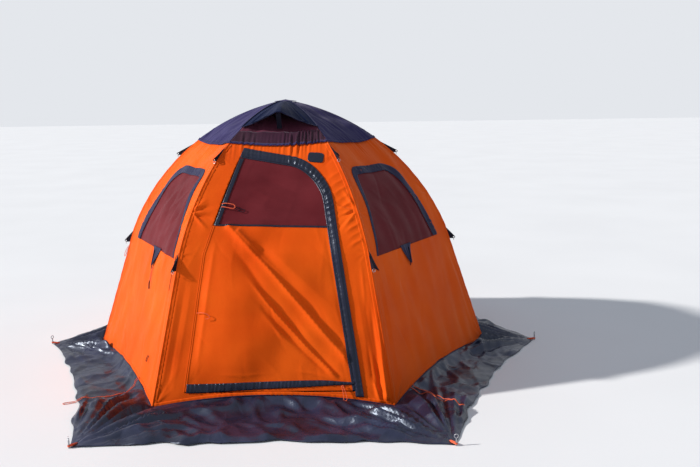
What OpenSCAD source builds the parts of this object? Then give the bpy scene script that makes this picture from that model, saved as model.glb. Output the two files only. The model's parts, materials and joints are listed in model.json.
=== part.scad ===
// Six-sided pop-up tent for fishing through ice.
// A hub, six curved ribs and six straight legs stand inside a cloth shell.
// The origin is the middle of the floor opening, at ground level, and the door wall faces -Y.

/* [Frame] */
// Length of one wall at the ground, which is also the corner radius of the plan
side_length = 1200; // [1120:10:1300]
// Distance from the middle to the corner ridge at the elbows
elbow_radius = 954; // [900:2:1000]
// Height of the elbows above the ground
elbow_height = 735; // [690:5:780]
// Slope of the ribs where they leave the elbows, in degrees from level
rib_start_slope = 67; // [64:1:70]
// Distance from the middle to the upper end of the ridges
hub_radius = 60; // [50:1:75]
// Height of the upper end of the ridges
hub_height = 1485; // [1450:5:1540]
// Distance from the cloth ridge in to the middle of a rib or leg
frame_inset = 16; // [15:1:24]
// Diameter of the curved upper ribs
rib_diameter = 10; // [8:0.5:11]
// Diameter of the straight legs
leg_diameter = 12; // [10:0.5:13]
// Wall of the sockets that hold ribs and legs
socket_wall = 2; // [1.5:0.25:3]
// Length of rib or leg inside each socket
socket_depth = 30; // [20:1:45]
// Diameter of the eyes of an elbow
elbow_eye = 16; // [14:0.5:16.5]
// Width of an elbow's fork across the ridge
fork_width = 13; // [11:0.5:13.5]
// Thickness of the tongue between the two cheeks of the fork
tongue_width = 5; // [3.5:0.5:6]
// Diameter of the pin through fork and tongue
pin_diameter = 5; // [4:0.5:6]
// Gap between the hub plate and the upper edges of the cap
hub_clear = 2; // [1:0.5:4]
// Overhang of the hub plate over the hub body
hub_rim = 6; // [4:0.5:10]
// Length of the rib sockets inside the hub body
hub_root = 18; // [16:1:24]
// Height of the hub from its plate to its underside
hub_depth = 34; // [28:1:50]

/* [Cloth] */
// Thickness of the cloth walls, cap and door
cloth = 3; // [2:0.5:4]
// Thickness of the window sheets and the vent mesh
mesh = 1.5; // [1:0.25:2]
// Thickness of tapes and sewn tabs
tape = 1.5; // [1:0.25:2.5]
// Gap between sewn layers
seat = 0.3; // [0.2:0.05:0.5]
// Height of the wall hems in the middle of a side
hem_rise = 60; // [40:5:90]
// Height of the wall hems at the corners
hem_foot = 5; // [3:1:20]
// Distance of the upper wall edges below the upper end of the ridges
wall_drop = 185; // [160:5:200]
// Gap between neighbouring panels along a ridge
ridge_gap = 0.3; // [0.2:0.1:0.6]
// Width of the bare patch on the front wall
patch_width = 84; // [60:1:100]
// Height of that patch
patch_height = 46; // [30:1:60]
// Corner radius of that patch
patch_round = 14; // [8:1:20]
// Offset of its middle to the right of the middle of the wall
patch_shift = 206; // [180:1:215]
// Distance of its middle below the upper end of the ridges
patch_drop = 290; // [275:1:300]
// Turn of that patch, in degrees
patch_turn = 6; // [0:1:12]

/* [Windows] */
// Height of the lower window edge
window_low = 700; // [600:5:760]
// Distance of the upper window edge below the upper end of the ridges
window_drop = 347; // [325:2:435]
// Cloth left between window tape and ridge on the side of the tight corner
window_near_margin = 82; // [60:1:110]
// Cloth left between window tape and ridge at the lower far corner
window_far_low = 140; // [100:1:170]
// Cloth left between window tape and ridge at the upper far corner
window_far_high = 125; // [90:1:150]
// Outer corner radius of the tape at the tight upper corner
window_near_round = 70; // [55:5:100]
// Outer corner radius of the tape at the wide upper corner
window_far_round = 160; // [120:5:180]
// Width of the tape along the upper window edge and down to the elbow beside it
window_tape = 36; // [25:1:45]
// Width of the tape at its foot on the side of the tight corner
window_tape_foot = 8; // [5:1:20]
// Width of the tape along the far side
window_tape_far = 55; // [40:1:65]
// Width of the sewn tab under a window
window_tab_width = 136; // [80:2:150]
// Depth of that tab below the window
window_tab_depth = 92; // [60:2:120]
// Offset of that tab from the middle of the wall
window_tab_shift = 78; // [60:1:100]

/* [Door] */
// Height of the door's lower edge
door_low = 72; // [65:1:100]
// Distance of the upper left door corner below the upper end of the ridges
door_drop = 274; // [260:1:305]
// The same for the point where the top edge would meet the right edge
door_drop_right = 345; // [325:2:385]
// Cloth left of the door at its lower corner
door_left_low = 150; // [120:1:180]
// Cloth left of the door at the elbows
door_left_elbow = 124; // [100:1:150]
// Cloth left of the door at its upper corner
door_left_high = 108; // [90:1:130]
// Cloth right of the door at its lower corner
door_right_low = 180; // [140:1:220]
// Cloth right of the door at its upper corner
door_right_high = 101; // [95:1:120]
// Radius of the sweep of the upper right door corner
door_round = 250; // [150:5:280]
// Height of the lower edge of the door window at the left
door_window_left = 877; // [800:1:950]
// Height of the lower edge of the door window at the right
door_window_right = 856; // [800:1:950]
// Running gap round the free edges of the door
door_gap = 5; // [5:0.5:8]
// Width of the zip flap round the doorway
flap_width = 37; // [25:1:42]
// Length of that flap below the door
flap_foot = 24; // [0:1:26]
// Height of the dark band along the lower edge of the door
door_band = 44; // [30:1:60]
// Distance of that band from the hinge seam
band_clear = 8; // [5:1:15]
// Distance of the joint between header and jambs below the upper right door corner
header_drop = 40; // [20:5:60]

/* [Cap and hood] */
// Distance of the lower cap edge below the upper end of the ridges
cap_drop = 215; // [205:1:225]
// Droop of the lower cap edge in the middle of a side
cap_droop = 12; // [6:1:20]
// The same for the upper edge of the cloth strip under the vent
vent_drop = 155; // [145:1:173]
// The same for the two feet of the hood
hood_drop = 140; // [120:1:143]
// Rise of the hood at the middle of its front edge
hood_rise = 80; // [40:2:100]
// Reach of the hood forward at the middle of its front edge
hood_reach = 58; // [30:2:70]
// Thickness of the hood cloth
hood_cloth = 2.5; // [1.5:0.25:3]
// Width of the stay that props up the hood
strut_width = 26; // [15:1:30]
// Thickness of that stay
strut_thick = 4; // [3:0.5:6]
// Sag of the hood's front edge between the stay and the feet, 1 for none
hood_sag = 1.25; // [1:0.05:1.5]
// Diameter of the round cover on the peak
peak_diameter = 130; // [110:1:150]
// Rise of that cover at its point
peak_rise = 13; // [8:0.5:18]

/* [Snow skirt] */
// Distance from the middle to the skirt tips of the four front and back corners
skirt_tip = 1690; // [1600:5:1750]
// Distance from the middle to the skirt tips of the two side corners
skirt_tip_side = 1515; // [1470:5:1600]
// Depth of the hollow of each outer skirt edge
skirt_hollow = 34; // [10:2:60]
// Thickness of the skirt
skirt_cloth = 2.5; // [1.5:0.25:4]
// Distance over which the skirt drops from the hem to the ground
skirt_drop = 160; // [100:5:190]
// Overlap of the skirt on the wall hem
skirt_lap = 8; // [5:1:15]
// Diameter of the ground pegs
peg_diameter = 7; // [6:0.5:9]
// Height of the pegs above the ground
peg_height = 36; // [25:1:60]
// Diameter of the eye on top of a peg, over its wire
peg_eye = 22; // [16:1:28]
// Diameter of the wire of that eye
peg_wire = 4; // [3:0.5:5]

/* [Guy points] */
// Distance of the upper guy tabs below the upper end of the ridges
tab_drop = 231; // [230:1:245]
// Distance of the elbow guy tabs below the elbows
tab_elbow_drop = 10; // [7:1:35]
// Length of a guy tab along the ridge
tab_length = 64; // [50:1:80]
// Reach of a guy tab out from the ridge
tab_reach = 38; // [25:1:50]
// Diameter of the hole in a guy tab
tab_hole = 8; // [6:0.5:10]
// Diameter of a tab ring, over its wire
ring_size = 18; // [14:1:24]
// Diameter of the wire of a tab ring
ring_wire = 2.4; // [1.5:0.1:3]
// Diameter of the side cords
cord = 3; // [2.5:0.5:4]

/* [Hidden] */

// Sides are numbered anticlockwise from the door wall, and each is turned from it
FRONT = 0;
RIGHT_FRONT = 1;
RIGHT_BACK = 2;
BACK = 3;
LEFT_BACK = 4;
LEFT_FRONT = 5;
// Wall distance over corner distance in a regular hexagon
flat = cos(30);
// Reach of the cutting shapes, past everything else
reach = 1.2 * skirt_tip;
// Heights that go with the upper end of the ridges and with the elbows
wall_top = hub_height - wall_drop;
window_high = hub_height - window_drop;
door_high = hub_height - door_drop;
door_high_right = hub_height - door_drop_right;
cap_low = hub_height - cap_drop;
vent_low = hub_height - vent_drop;
hood_foot = hub_height - hood_drop;
tab_high = hub_height - tab_drop;
tab_elbow = elbow_height - tab_elbow_drop;
patch_high = hub_height - patch_drop;
arc_facets = 16;
round_facets = 10;

function unit(v) = v / norm(v);

// Circle of the ridge between elbow and hub, in radius and height
rib_pull = [-sin(rib_start_slope), -cos(rib_start_slope)];
rib_chord = [hub_radius - elbow_radius, hub_height - elbow_height];
rib_curve = (rib_chord * rib_chord) / (2 * (rib_pull * rib_chord));
rib_centre = [elbow_radius, elbow_height] + rib_curve * rib_pull;
start_turn = 90 - rib_start_slope;
end_turn = atan2(hub_height - rib_centre[1], hub_radius - rib_centre[0]);
leg_run = side_length - elbow_radius;
leg_out = unit([elbow_height, leg_run]);
leg_up = unit([-leg_run, elbow_height]);

function arc_at(turn, lift) = rib_centre + (rib_curve + lift) * [cos(turn), sin(turn)];
function turn_at(z) = asin((z - rib_centre[1]) / rib_curve);
// Distance of the corner ridge from the middle at a height
function ridge(z) = z <= elbow_height ? side_length - leg_run * z / elbow_height
    : rib_centre[0] + rib_curve * cos(turn_at(z));
function half_wall(z) = ridge(z) / 2;

// Wall surface as points of distance and height, each with its outward direction
wall_leg_out = unit([elbow_height, flat * leg_run]);
function wall_arc_out(turn) = unit([cos(turn), flat * sin(turn)]);
under = 40;
stations = concat(
    [[[flat * ridge(-under), -under], wall_leg_out]],
    [[[flat * elbow_radius, elbow_height], unit(wall_leg_out + wall_arc_out(start_turn))]],
    [for (i = [1 : arc_facets])
        let (turn = start_turn + (end_turn - start_turn) * i / arc_facets, p = arc_at(turn, 0))
        [[flat * p[0], p[1]], wall_arc_out(turn)]]);

// Polygon edges moved outwards, each by its own amount, for a polygon listed anticlockwise
function edge_out(p, q) = unit([q[1] - p[1], p[0] - q[0]]);
function meet(p, u, q, v) = let (d = u[0] * v[1] - u[1] * v[0],
    t = ((q[0] - p[0]) * v[1] - (q[1] - p[1]) * v[0]) / d) p + t * u;
function moved(points, outward) = let (n = len(points))
    [for (i = [0 : n - 1])
        let (h = (i + n - 1) % n, j = (i + 1) % n,
            a = points[i] + outward[h] * edge_out(points[h], points[i]),
            b = points[i] + outward[i] * edge_out(points[i], points[j]))
        meet(a, points[i] - points[h], b, points[j] - points[i])];

// Polygon corners rounded, each by its own radius
function corner(a, p, b, r) = r <= 0 ? [p] :
    let (u = unit(a - p), v = unit(b - p), half = acos(u * v) / 2,
        middle = p + unit(u + v) * r / sin(half),
        first = p + u * r / tan(half) - middle,
        start = atan2(first[1], first[0]), turn = 180 - 2 * half)
    [for (i = [0 : round_facets])
        middle + r * [cos(start + turn * i / round_facets), sin(start + turn * i / round_facets)]];
function rounded(points, radii) = let (n = len(points))
    [for (i = [0 : n - 1]) each corner(points[(i + n - 1) % n], points[i], points[(i + 1) % n], radii[i])];

// Outline of one wall from arched hem to top, wider than the wall
hem_arch = hem_rise - hem_foot;
hem_curve = (pow(side_length / 2, 2) + pow(hem_arch, 2)) / (2 * hem_arch);
function hem_at(u) = hem_rise - hem_curve + sqrt(pow(hem_curve, 2) - u * u);
hem_steps = 12;
hem_line = [for (i = [0 : hem_steps])
    let (u = side_length * (i / hem_steps - 0.5)) [u, hem_at(u)]];

// Outline of the window tape, with its tight corner on the left, and of the opening inside it
window_points = [
    [-half_wall(window_low) + window_near_margin, window_low],
    [half_wall(window_low) - window_far_low, window_low],
    [half_wall(window_high) - window_far_high, window_high],
    [-half_wall(window_high) + window_near_margin, window_high]];
window_radii = [0, 0, window_far_round, window_near_round];
window_inner = moved(window_points, [0, -window_tape_far, -window_tape, -window_tape]);
opening_points = [window_points[0] + [window_tape_foot, 0], window_inner[1], window_inner[2], window_inner[3]];
opening_radii = [0, 0, window_far_round - window_tape, window_near_round - window_tape];

// Doorway outline: lower corners, upper corners, and the bend of the seam at the elbow
door_points = [
    [-half_wall(door_low) + door_left_low, door_low],
    [half_wall(door_low) - door_right_low, door_low],
    [half_wall(door_high_right) - door_right_high, door_high_right],
    [-half_wall(door_high) + door_left_high, door_high],
    [-half_wall(elbow_height) + door_left_elbow, elbow_height]];
leaf_points = moved(door_points, [-door_gap, -door_gap, -door_gap, -seat, -seat]);
flap_points = moved(door_points, [flap_foot, flap_width, flap_width, 0, 0]);
door_radii = [0, 0, door_round, 0, 0];
front_split = door_high_right - header_drop;

// Lifts of the layers that lie on the walls and on the cap
cap_out = seat + cloth;
hood_lift = cap_out + 2 * seat;
peak_seat = hub_height + hood_lift + hood_cloth + seat;

// Frame line inside the ridge
rib_line = rib_curve - frame_inset;
elbow_out = unit(leg_out + [cos(start_turn), sin(start_turn)]);
elbow_pin = [elbow_radius, elbow_height] - frame_inset * elbow_out / (elbow_out * leg_out);
leg_span = elbow_pin[1] / leg_up[1];
eye_gap = 1;
tube_gap = elbow_eye / 2 + 4 * eye_gap;
tube_turn = tube_gap / rib_line * 180 / PI;
leg_lift = 8;
slip = 0.15;
// Length by which bores run past the end of their sockets
past = 10;

skirt_tips = [for (k = [0 : 5]) let (r = k % 3 == 0 ? skirt_tip_side : skirt_tip)
    r * [cos(60 * k), sin(60 * k)]];

// Routes of the side cords: from the hem out over the skirt, round a bend, and back to the hem
left_route = [[-746, -766, 64], [-760, -790, 48], [-782, -822, 33.5], [-806, -856, 16], [-846, -892, 4.5],
    [-900, -914, 4.5], [-944, -926, 4.5], [-990, -938, 4.5], [-1036, -952, 4.5], [-1058, -960, 4],
    [-1070, -970, 3], [-1064, -981, 3], [-1048, -978, 3], [-1020, -964, 4.5], [-980, -948, 4.5],
    [-938, -936, 4.5], [-892, -928, 4.5], [-850, -908, 4.5], [-808, -874, 10.5], [-776, -832, 32],
    [-752, -802, 48], [-736, -772, 64]];
right_route = [[684, -868, 52], [704, -892, 37], [730, -922, 20], [756, -942, 7], [784, -962, 4.5],
    [812, -998, 4.5], [840, -1030, 4.5], [866, -1048, 4.5], [892, -1068, 4.5], [908, -1084, 4.5],
    [918, -1098, 4.5], [932, -1096, 4.5], [930, -1082, 4.5], [910, -1060, 4.5], [886, -1036, 4.5],
    [858, -1016, 4.5], [832, -984, 4.5], [804, -954, 4.5], [776, -930, 8], [748, -906, 22],
    [722, -882, 40], [698, -860, 54]];
cord_sides = 8;

module on_side(side) {
    rotate([0, 0, 60 * side]) children();
}

module on_corner(k) {
    rotate([0, 0, 60 * k]) children();
}

// Full height band of wall cloth facing -Y, with its outer face the given distance outside the wall surface
module skin(outside, thickness) {
    rotate([90, 0, -90])
        linear_extrude(height = 2 * side_length, center = true)
            polygon(concat([for (s = stations) s[0] + outside * s[1]],
                [for (i = [len(stations) - 1 : -1 : 0])
                    stations[i][0] + (outside - thickness) * stations[i][1]]));
}

// One sixth of the plan
module sector() {
    translate([0, 0, -under])
        linear_extrude(height = hub_height + 3 * under)
            translate([0, -ridge_gap])
                polygon([[0, 0], [-reach * tan(30), -reach], [reach * tan(30), -reach]]);
}

// The part of a band that lies inside a sixth of the plan and behind a flat outline
module cut_skin(outside, thickness) {
    intersection() {
        skin(outside, thickness);
        sector();
        rotate([90, 0, 0]) linear_extrude(height = reach) children();
    }
}

module between(low, high) {
    translate([-side_length, low]) square([2 * side_length, high - low]);
}

module wall_shape() {
    polygon(concat([[-side_length, hem_foot]], hem_line, [[side_length, hem_foot],
        [side_length, wall_top], [-side_length, wall_top]]));
}

module window_shape(outward) {
    polygon(rounded(moved(opening_points, [for (i = [0 : 3]) outward]),
        [for (r = opening_radii) r > 0 ? r + outward : 0]));
}

module window_mirror(side) {
    mirror([side == LEFT_FRONT || side == RIGHT_BACK ? 1 : 0, 0, 0]) children();
}

module door_shape() {
    polygon(rounded(door_points, door_radii));
}

module leaf_shape() {
    polygon(rounded(leaf_points, [for (r = door_radii) r > 0 ? r - door_gap : 0]));
}

module wall(side) {
    color("orange") on_side(side) window_mirror(side)
        cut_skin(0, cloth) difference() {
            wall_shape();
            window_shape(0);
        }
}

module window(side) {
    color("indianred") on_side(side) window_mirror(side)
        cut_skin(-(cloth - mesh) / 2, mesh) window_shape(-seat);
}

module window_tapes() {
    color("lightsteelblue") for (side = [RIGHT_FRONT : LEFT_FRONT])
        on_side(side) window_mirror(side)
            cut_skin(seat + tape, tape) difference() {
                polygon(rounded(window_points, window_radii));
                window_shape(0);
                translate([opening_points[0][0], 0]) square([opening_points[1][0] - opening_points[0][0],
                    window_low + seat]);
            }
}

// Half the width of the cut end of a tab under a window
tab_end = 8;

module window_tabs() {
    color("slategray") for (side = [RIGHT_FRONT : LEFT_FRONT])
        on_side(side) window_mirror(side)
            cut_skin(seat + tape, tape)
                translate([-window_tab_shift, window_low - seat])
                    polygon([[-window_tab_width / 2, 0], [-tab_end, -window_tab_depth],
                        [tab_end, -window_tab_depth], [window_tab_width / 2, 0]]);
}

module front_cloth() {
    color("orangered") cut_skin(0, cloth) difference() {
        intersection() {
            wall_shape();
            children();
        }
        door_shape();
    }
}

module front_jamb_left() {
    front_cloth() translate([-side_length, door_low]) square([side_length, front_split - door_low]);
}

module front_jamb_right() {
    front_cloth() translate([0, door_low]) square([side_length, front_split - door_low]);
}

module front_header() {
    front_cloth() between(front_split, wall_top);
}

module front_sill() {
    front_cloth() between(0, door_low);
}

module header_patch() {
    w = patch_width / 2;
    h = patch_height / 2;
    color("midnightblue") cut_skin(seat + tape, tape)
        translate([patch_shift, patch_high]) rotate([0, 0, -patch_turn])
            polygon(rounded([[-w, -h], [w, -h], [w, h], [-w, h]], [for (i = [0 : 3]) patch_round]));
}

module doorway_flap() {
    color("midnightblue") cut_skin(seat + cloth, cloth) difference() {
        polygon(rounded(flap_points, [for (r = door_radii) r > 0 ? r + flap_width : 0]));
        door_shape();
        translate([-side_length, 0]) square([side_length + door_points[1][0], door_low + seat]);
    }
}

module above_window_line() {
    rise = door_window_right - door_window_left;
    run = door_points[1][0] - door_points[0][0];
    polygon([[-side_length, door_window_left - rise / run * (side_length + door_points[0][0])],
        [side_length, door_window_right + rise / run * (side_length - door_points[1][0])],
        [side_length, wall_top], [-side_length, wall_top]]);
}

module door_panel() {
    color("orangered") cut_skin(0, cloth) difference() {
        leaf_shape();
        above_window_line();
    }
}

module door_window() {
    color("brown") cut_skin(-(cloth - mesh) / 2, mesh) intersection() {
        leaf_shape();
        above_window_line();
    }
}

// The band stops short of the seam, so that it stays clear of the wall when the door stands open
band_points = moved(leaf_points, [0, 0, 0, -band_clear, -band_clear]);

module door_band_low() {
    color("midnightblue") cut_skin(seat + tape, tape) intersection() {
        polygon(rounded(band_points, door_radii));
        between(door_low, door_low + door_band);
    }
}

// Outline of a cap panel from its drooping edge up to a height
hem_points = 10;
module cap_shape(high) {
    half = half_wall(cap_low);
    polygon(concat([[-side_length, cap_low]],
        [for (i = [0 : hem_points]) let (t = 2 * i / hem_points - 1) [half * t, cap_low - cap_droop * (1 - t * t)]],
        [[side_length, cap_low], [side_length, high], [-side_length, high]]));
}

module cap(side) {
    color("slateblue") on_side(side) cut_skin(cap_out, cloth) cap_shape(hub_height + under);
}

module cap_front_strip() {
    color("slateblue") cut_skin(cap_out, cloth) cap_shape(vent_low);
}

module vent_mesh() {
    color("black") cut_skin(cap_out - (cloth - mesh) / 2, mesh) between(vent_low, hub_height + under);
}

// Point of the hood: along runs from the peak to the front edge, across from foot to foot
hood_along = 6;
hood_flat = strut_width / 2 / half_wall(hood_foot);
hood_half = [1, 0.8, 0.6, 0.4, 0.2, hood_flat];
hood_steps = concat([for (a = hood_half) -a], [for (i = [len(hood_half) - 1 : -1 : 0]) hood_half[i]]);
hood_across = len(hood_steps) - 1;
function hood_point(along, across, lift) = let (
    p = arc_at(end_turn + (turn_at(hood_foot) - end_turn) * along, lift),
    bow = along * pow(min(1, (1 - abs(across)) / (1 - hood_flat)), hood_sag))
    [p[0] * across / 2, -p[0] * flat - hood_reach * bow, p[1] + hood_rise * bow];
function hood_sheet(lift) = [for (i = [0 : hood_along]) for (j = [0 : hood_across])
    hood_point(i / hood_along, hood_steps[j], lift)];

module vent_hood() {
    w = hood_across + 1;
    n = w * (hood_along + 1);
    cells = [for (i = [0 : hood_along - 1]) for (j = [0 : hood_across - 1]) i * w + j];
    rim = concat([for (j = [0 : hood_across - 1]) j], [for (i = [0 : hood_along - 1]) i * w + hood_across],
        [for (j = [hood_across : -1 : 1]) hood_along * w + j], [for (i = [hood_along : -1 : 1]) i * w]);
    m = len(rim);
    color("midnightblue") polyhedron(
        points = concat(hood_sheet(hood_lift), hood_sheet(hood_lift + hood_cloth)),
        faces = concat(
            [for (c = cells) each [[c, c + 1, c + w], [c + 1, c + w + 1, c + w]]],
            [for (c = cells) each [[n + c, n + c + w, n + c + 1], [n + c + 1, n + c + w, n + c + w + 1]]],
            [for (i = [0 : m - 1]) let (a = rim[i], b = rim[(i + 1) % m])
                each [[b, a, n + a], [b, n + a, n + b]]]));
}

// Stay that stands on the mesh of the vent and holds up the front edge of the hood
stay_lift = 2;
stay_over = 0.1;

module hood_stay() {
    foot_turn = turn_at(vent_low) + (end_turn - start_turn) / arc_facets / 4;
    foot_out = wall_arc_out(foot_turn);
    foot = arc_at(foot_turn, 0);
    low = [flat * foot[0], foot[1]] + (cap_out + stay_lift) * foot_out;
    top = hood_point(1, 0, hood_lift);
    high = [-top[1] - strut_thick, top[2] + stay_over];
    color("black") translate([0, -low[0], low[1]])
        rotate([90 - atan2(high[1] - low[1], high[0] - low[0]), 0, 0])
            translate([-strut_width / 2, -strut_thick / 2, 0])
                cube([strut_width, strut_thick, norm(high - low)]);
}

module peak_cover() {
    color("midnightblue") translate([0, 0, peak_seat]) rotate_extrude($fn = 48)
        polygon([[0, 0], [peak_diameter / 2, 0], [peak_diameter / 2, cloth],
            [peak_diameter / 5, cloth + (peak_rise - cloth) / 2], [0, peak_rise]]);
}

// Round bar or bore in the plane of a corner, from a point along a direction
module bar(from, along, diameter, length) {
    translate([from[0], 0, from[1]]) rotate([0, 90 - atan2(along[1], along[0]), 0])
        cylinder(d = diameter, h = length, $fn = 32);
}

function hub_end() = arc_at(end_turn, -frame_inset);
function hub_way() = [sin(end_turn), -cos(end_turn)];

module roof_hub() {
    socket = rib_diameter + 2 * socket_wall;
    plate = 2 * (flat * hub_radius - hub_clear);
    color("dimgray") difference() {
        union() {
            translate([0, 0, hub_height - cloth]) cylinder(d = plate, h = cloth, $fn = 48);
            translate([0, 0, hub_height - hub_depth]) cylinder(d = plate - 2 * hub_rim, h = hub_depth, $fn = 48);
            for (k = [0 : 5]) on_corner(k)
                bar(hub_end() - hub_root * hub_way(), hub_way(), socket, socket_depth + hub_root);
        }
        for (k = [0 : 5]) on_corner(k)
            bar(hub_end() - slip * hub_way(), hub_way(), rib_diameter + 2 * slip, socket_depth + past);
    }
}

module upper_ribs() {
    color("silver") for (k = [0 : 5]) on_corner(k)
        translate([rib_centre[0], 0, rib_centre[1]])
            rotate([90, 0, 0]) rotate([0, 0, start_turn + tube_turn])
                rotate_extrude(angle = end_turn - start_turn - tube_turn, $fn = 180)
                    translate([rib_line, 0]) circle(d = rib_diameter, $fn = 24);
}

// Disc round the pin of an elbow, across the corner plane
module elbow_disc(diameter, width) {
    translate([elbow_pin[0], 0, elbow_pin[1]]) rotate([90, 0, 0])
        cylinder(d = diameter, h = width, center = true, $fn = 32);
}

// Fork on top of a leg, with the pin between its two cheeks
module elbow_forks() {
    slot = tongue_width + 2 * seat;
    color("dimgray") for (k = [0 : 5]) on_corner(k) {
        difference() {
            union() {
                elbow_disc(elbow_eye, fork_width);
                bar(elbow_pin, -leg_up, leg_diameter + 2 * socket_wall, socket_depth + tube_gap);
            }
            elbow_disc(elbow_eye + 2 * eye_gap, slot);
            bar(elbow_pin - (tube_gap - slip) * leg_up, -leg_up, leg_diameter + 2 * slip, socket_depth + past);
        }
        elbow_disc(pin_diameter, fork_width);
    }
}

// Tongue at the foot of a rib, which turns on that pin
module elbow_tongues() {
    rib_way = [-sin(start_turn + tube_turn), cos(start_turn + tube_turn)];
    rib_from = arc_at(start_turn + tube_turn, -frame_inset);
    socket_start = tube_gap - elbow_eye / 2 - eye_gap;
    web = [elbow_eye, tongue_width, tube_gap];
    color("dimgray") for (k = [0 : 5]) on_corner(k) difference() {
        union() {
            elbow_disc(elbow_eye, tongue_width);
            translate([elbow_pin[0], 0, elbow_pin[1]])
                rotate([0, 90 - atan2(rib_way[1], rib_way[0]), 0])
                    translate([-web[0] / 2, -web[1] / 2, 0]) cube(web);
            bar(rib_from - socket_start * rib_way, rib_way, rib_diameter + 2 * socket_wall,
                socket_depth + socket_start);
        }
        elbow_disc(pin_diameter + 2 * slip, fork_width);
        bar(rib_from - slip * rib_way, rib_way, rib_diameter + 4 * slip, socket_depth + past);
    }
}

module lower_legs() {
    color("silver") for (k = [0 : 5]) on_corner(k)
        bar(elbow_pin - tube_gap * leg_up, -leg_up, leg_diameter, leg_span - tube_gap - leg_lift);
}

module leg_feet() {
    foot = elbow_pin - leg_span * leg_up;
    color("black") for (k = [0 : 5]) on_corner(k) difference() {
        bar(foot - past * leg_up, leg_up, leg_diameter + 2 * socket_wall, socket_depth + past);
        bar(foot + (leg_lift - slip) * leg_up, leg_up, leg_diameter + 2 * slip, socket_depth + past);
        translate([foot[0], 0, -leg_diameter * 2]) cube(leg_diameter * 4, center = true);
    }
}

// Skirt of one side, lofted through sections from the wall hem down to the ground and out to the edge
skirt_cells = 13;
skirt_top = hem_rise + skirt_lap;
skirt_lean = skirt_drop / skirt_top;
skirt_slant = skirt_cloth / cos(atan(skirt_lean));
function turned(p, angle) = [p[0] * cos(angle) - p[1] * sin(angle), p[0] * sin(angle) + p[1] * cos(angle)];
function on_wall(side, w, d, z) = let (p = turned([w * d * tan(30), -d], 60 * side)) [p[0], p[1], z];
function skirt_edge(side, w) = let (t = (w + 1) / 2, a = skirt_tips[(side + 4) % 6],
    b = skirt_tips[(side + 5) % 6])
    a + (b - a) * t - skirt_hollow * 4 * t * (1 - t) * unit(a + b);
function skirt_section(side, w) = let (
    z = hem_at(w * side_length / 2) + skirt_lap,
    face = flat * ridge(z) + seat,
    land = face + skirt_lean * z,
    edge = skirt_edge(side, w))
    [on_wall(side, w, face, z), on_wall(side, w, land, 0), [edge[0], edge[1], 0],
        [edge[0], edge[1], skirt_cloth], on_wall(side, w, land + skirt_slant - skirt_lean * skirt_cloth, skirt_cloth),
        on_wall(side, w, face + skirt_slant, z)];

module skirt(side) {
    m = 6;
    color("darkslategray") polyhedron(
        points = [for (i = [0 : skirt_cells]) each skirt_section(side, 2 * i / skirt_cells - 1)],
        faces = concat(
            [for (i = [0 : skirt_cells - 1]) for (j = [0 : m - 1])
                let (a = i * m + j, b = i * m + (j + 1) % m)
                each [[a, b, b + m], [a, b + m, a + m]]],
            [[for (j = [m - 1 : -1 : 0]) j], [for (j = [0 : m - 1]) skirt_cells * m + j]]));
}

// A peg stands against each skirt tip
module peg_place(k) {
    on_corner(k) translate([norm(skirt_tips[k]) + peg_diameter / 2 + seat, 0, 0]) children();
}

module skirt_pegs() {
    eye_radius = (peg_eye - peg_wire) / 2;
    color("silver") for (k = [0 : 5]) peg_place(k) {
        cylinder(d = peg_diameter, h = peg_height, $fn = 24);
        translate([0, 0, peg_height + eye_radius]) rotate([90, 0, 60])
            rotate_extrude($fn = 32) translate([eye_radius, 0]) circle(d = peg_wire, $fn = 16);
    }
}

function tab_hole_at(high) = let (low = high - tab_length, r = ridge(low))
    [r + tab_reach - tab_hole, low];

module guy_tab(high) {
    low = high - tab_length;
    foot = low - tab_hole;
    face = 2 * seat;
    hole = tab_hole_at(high);
    color("black") rotate([90, 0, 0]) linear_extrude(height = tape, center = true) difference() {
        polygon(concat(
            [for (i = [0 : 4]) let (z = high + (foot - high) * i / 4) [ridge(z) + face, z]],
            [[hole[0], foot], [hole[0] + tab_hole, low - tab_hole / 2], [hole[0] + tab_hole, low + tab_hole / 2]]));
        translate(hole) circle(d = tab_hole, $fn = 24);
    }
}

module guy_tabs() {
    for (k = [0 : 5]) on_corner(k) {
        guy_tab(tab_high);
        guy_tab(tab_elbow);
    }
}

module guy_rings() {
    major = (ring_size - ring_wire) / 2;
    color("silver") for (k = [0 : 5]) for (high = [tab_high, tab_elbow]) on_corner(k) {
        hole = tab_hole_at(high);
        drop = tab_hole / 2 - ring_wire / 2 - seat;
        translate([hole[0], 0, hole[1] - drop - major]) rotate([0, 90, 0])
            rotate_extrude($fn = 32) translate([major, 0]) circle(d = ring_wire, $fn = 16);
    }
}

// Round cord swept along a route
function route_way(route, i) = unit(route[min(i + 1, len(route) - 1)] - route[max(i - 1, 0)]);
function route_ring(route, i) = let (t = route_way(route, i), s = unit(cross(t, [0, 0, 1])), u = cross(s, t))
    [for (j = [0 : cord_sides - 1]) let (a = 360 * j / cord_sides)
        route[i] + cord / 2 * (cos(a) * s + sin(a) * u)];

module swept_cord(route) {
    n = len(route);
    m = cord_sides;
    color("orangered") polyhedron(
        points = [for (i = [0 : n - 1]) each route_ring(route, i)],
        faces = concat([[for (j = [0 : m - 1]) j]],
            [for (i = [0 : n - 2]) for (j = [0 : m - 1]) let (a = i * m + j, b = i * m + (j + 1) % m)
                each [[a, a + m, b], [b, a + m, b + m]]],
            [[for (j = [m - 1 : -1 : 0]) (n - 1) * m + j]]));
}

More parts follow.
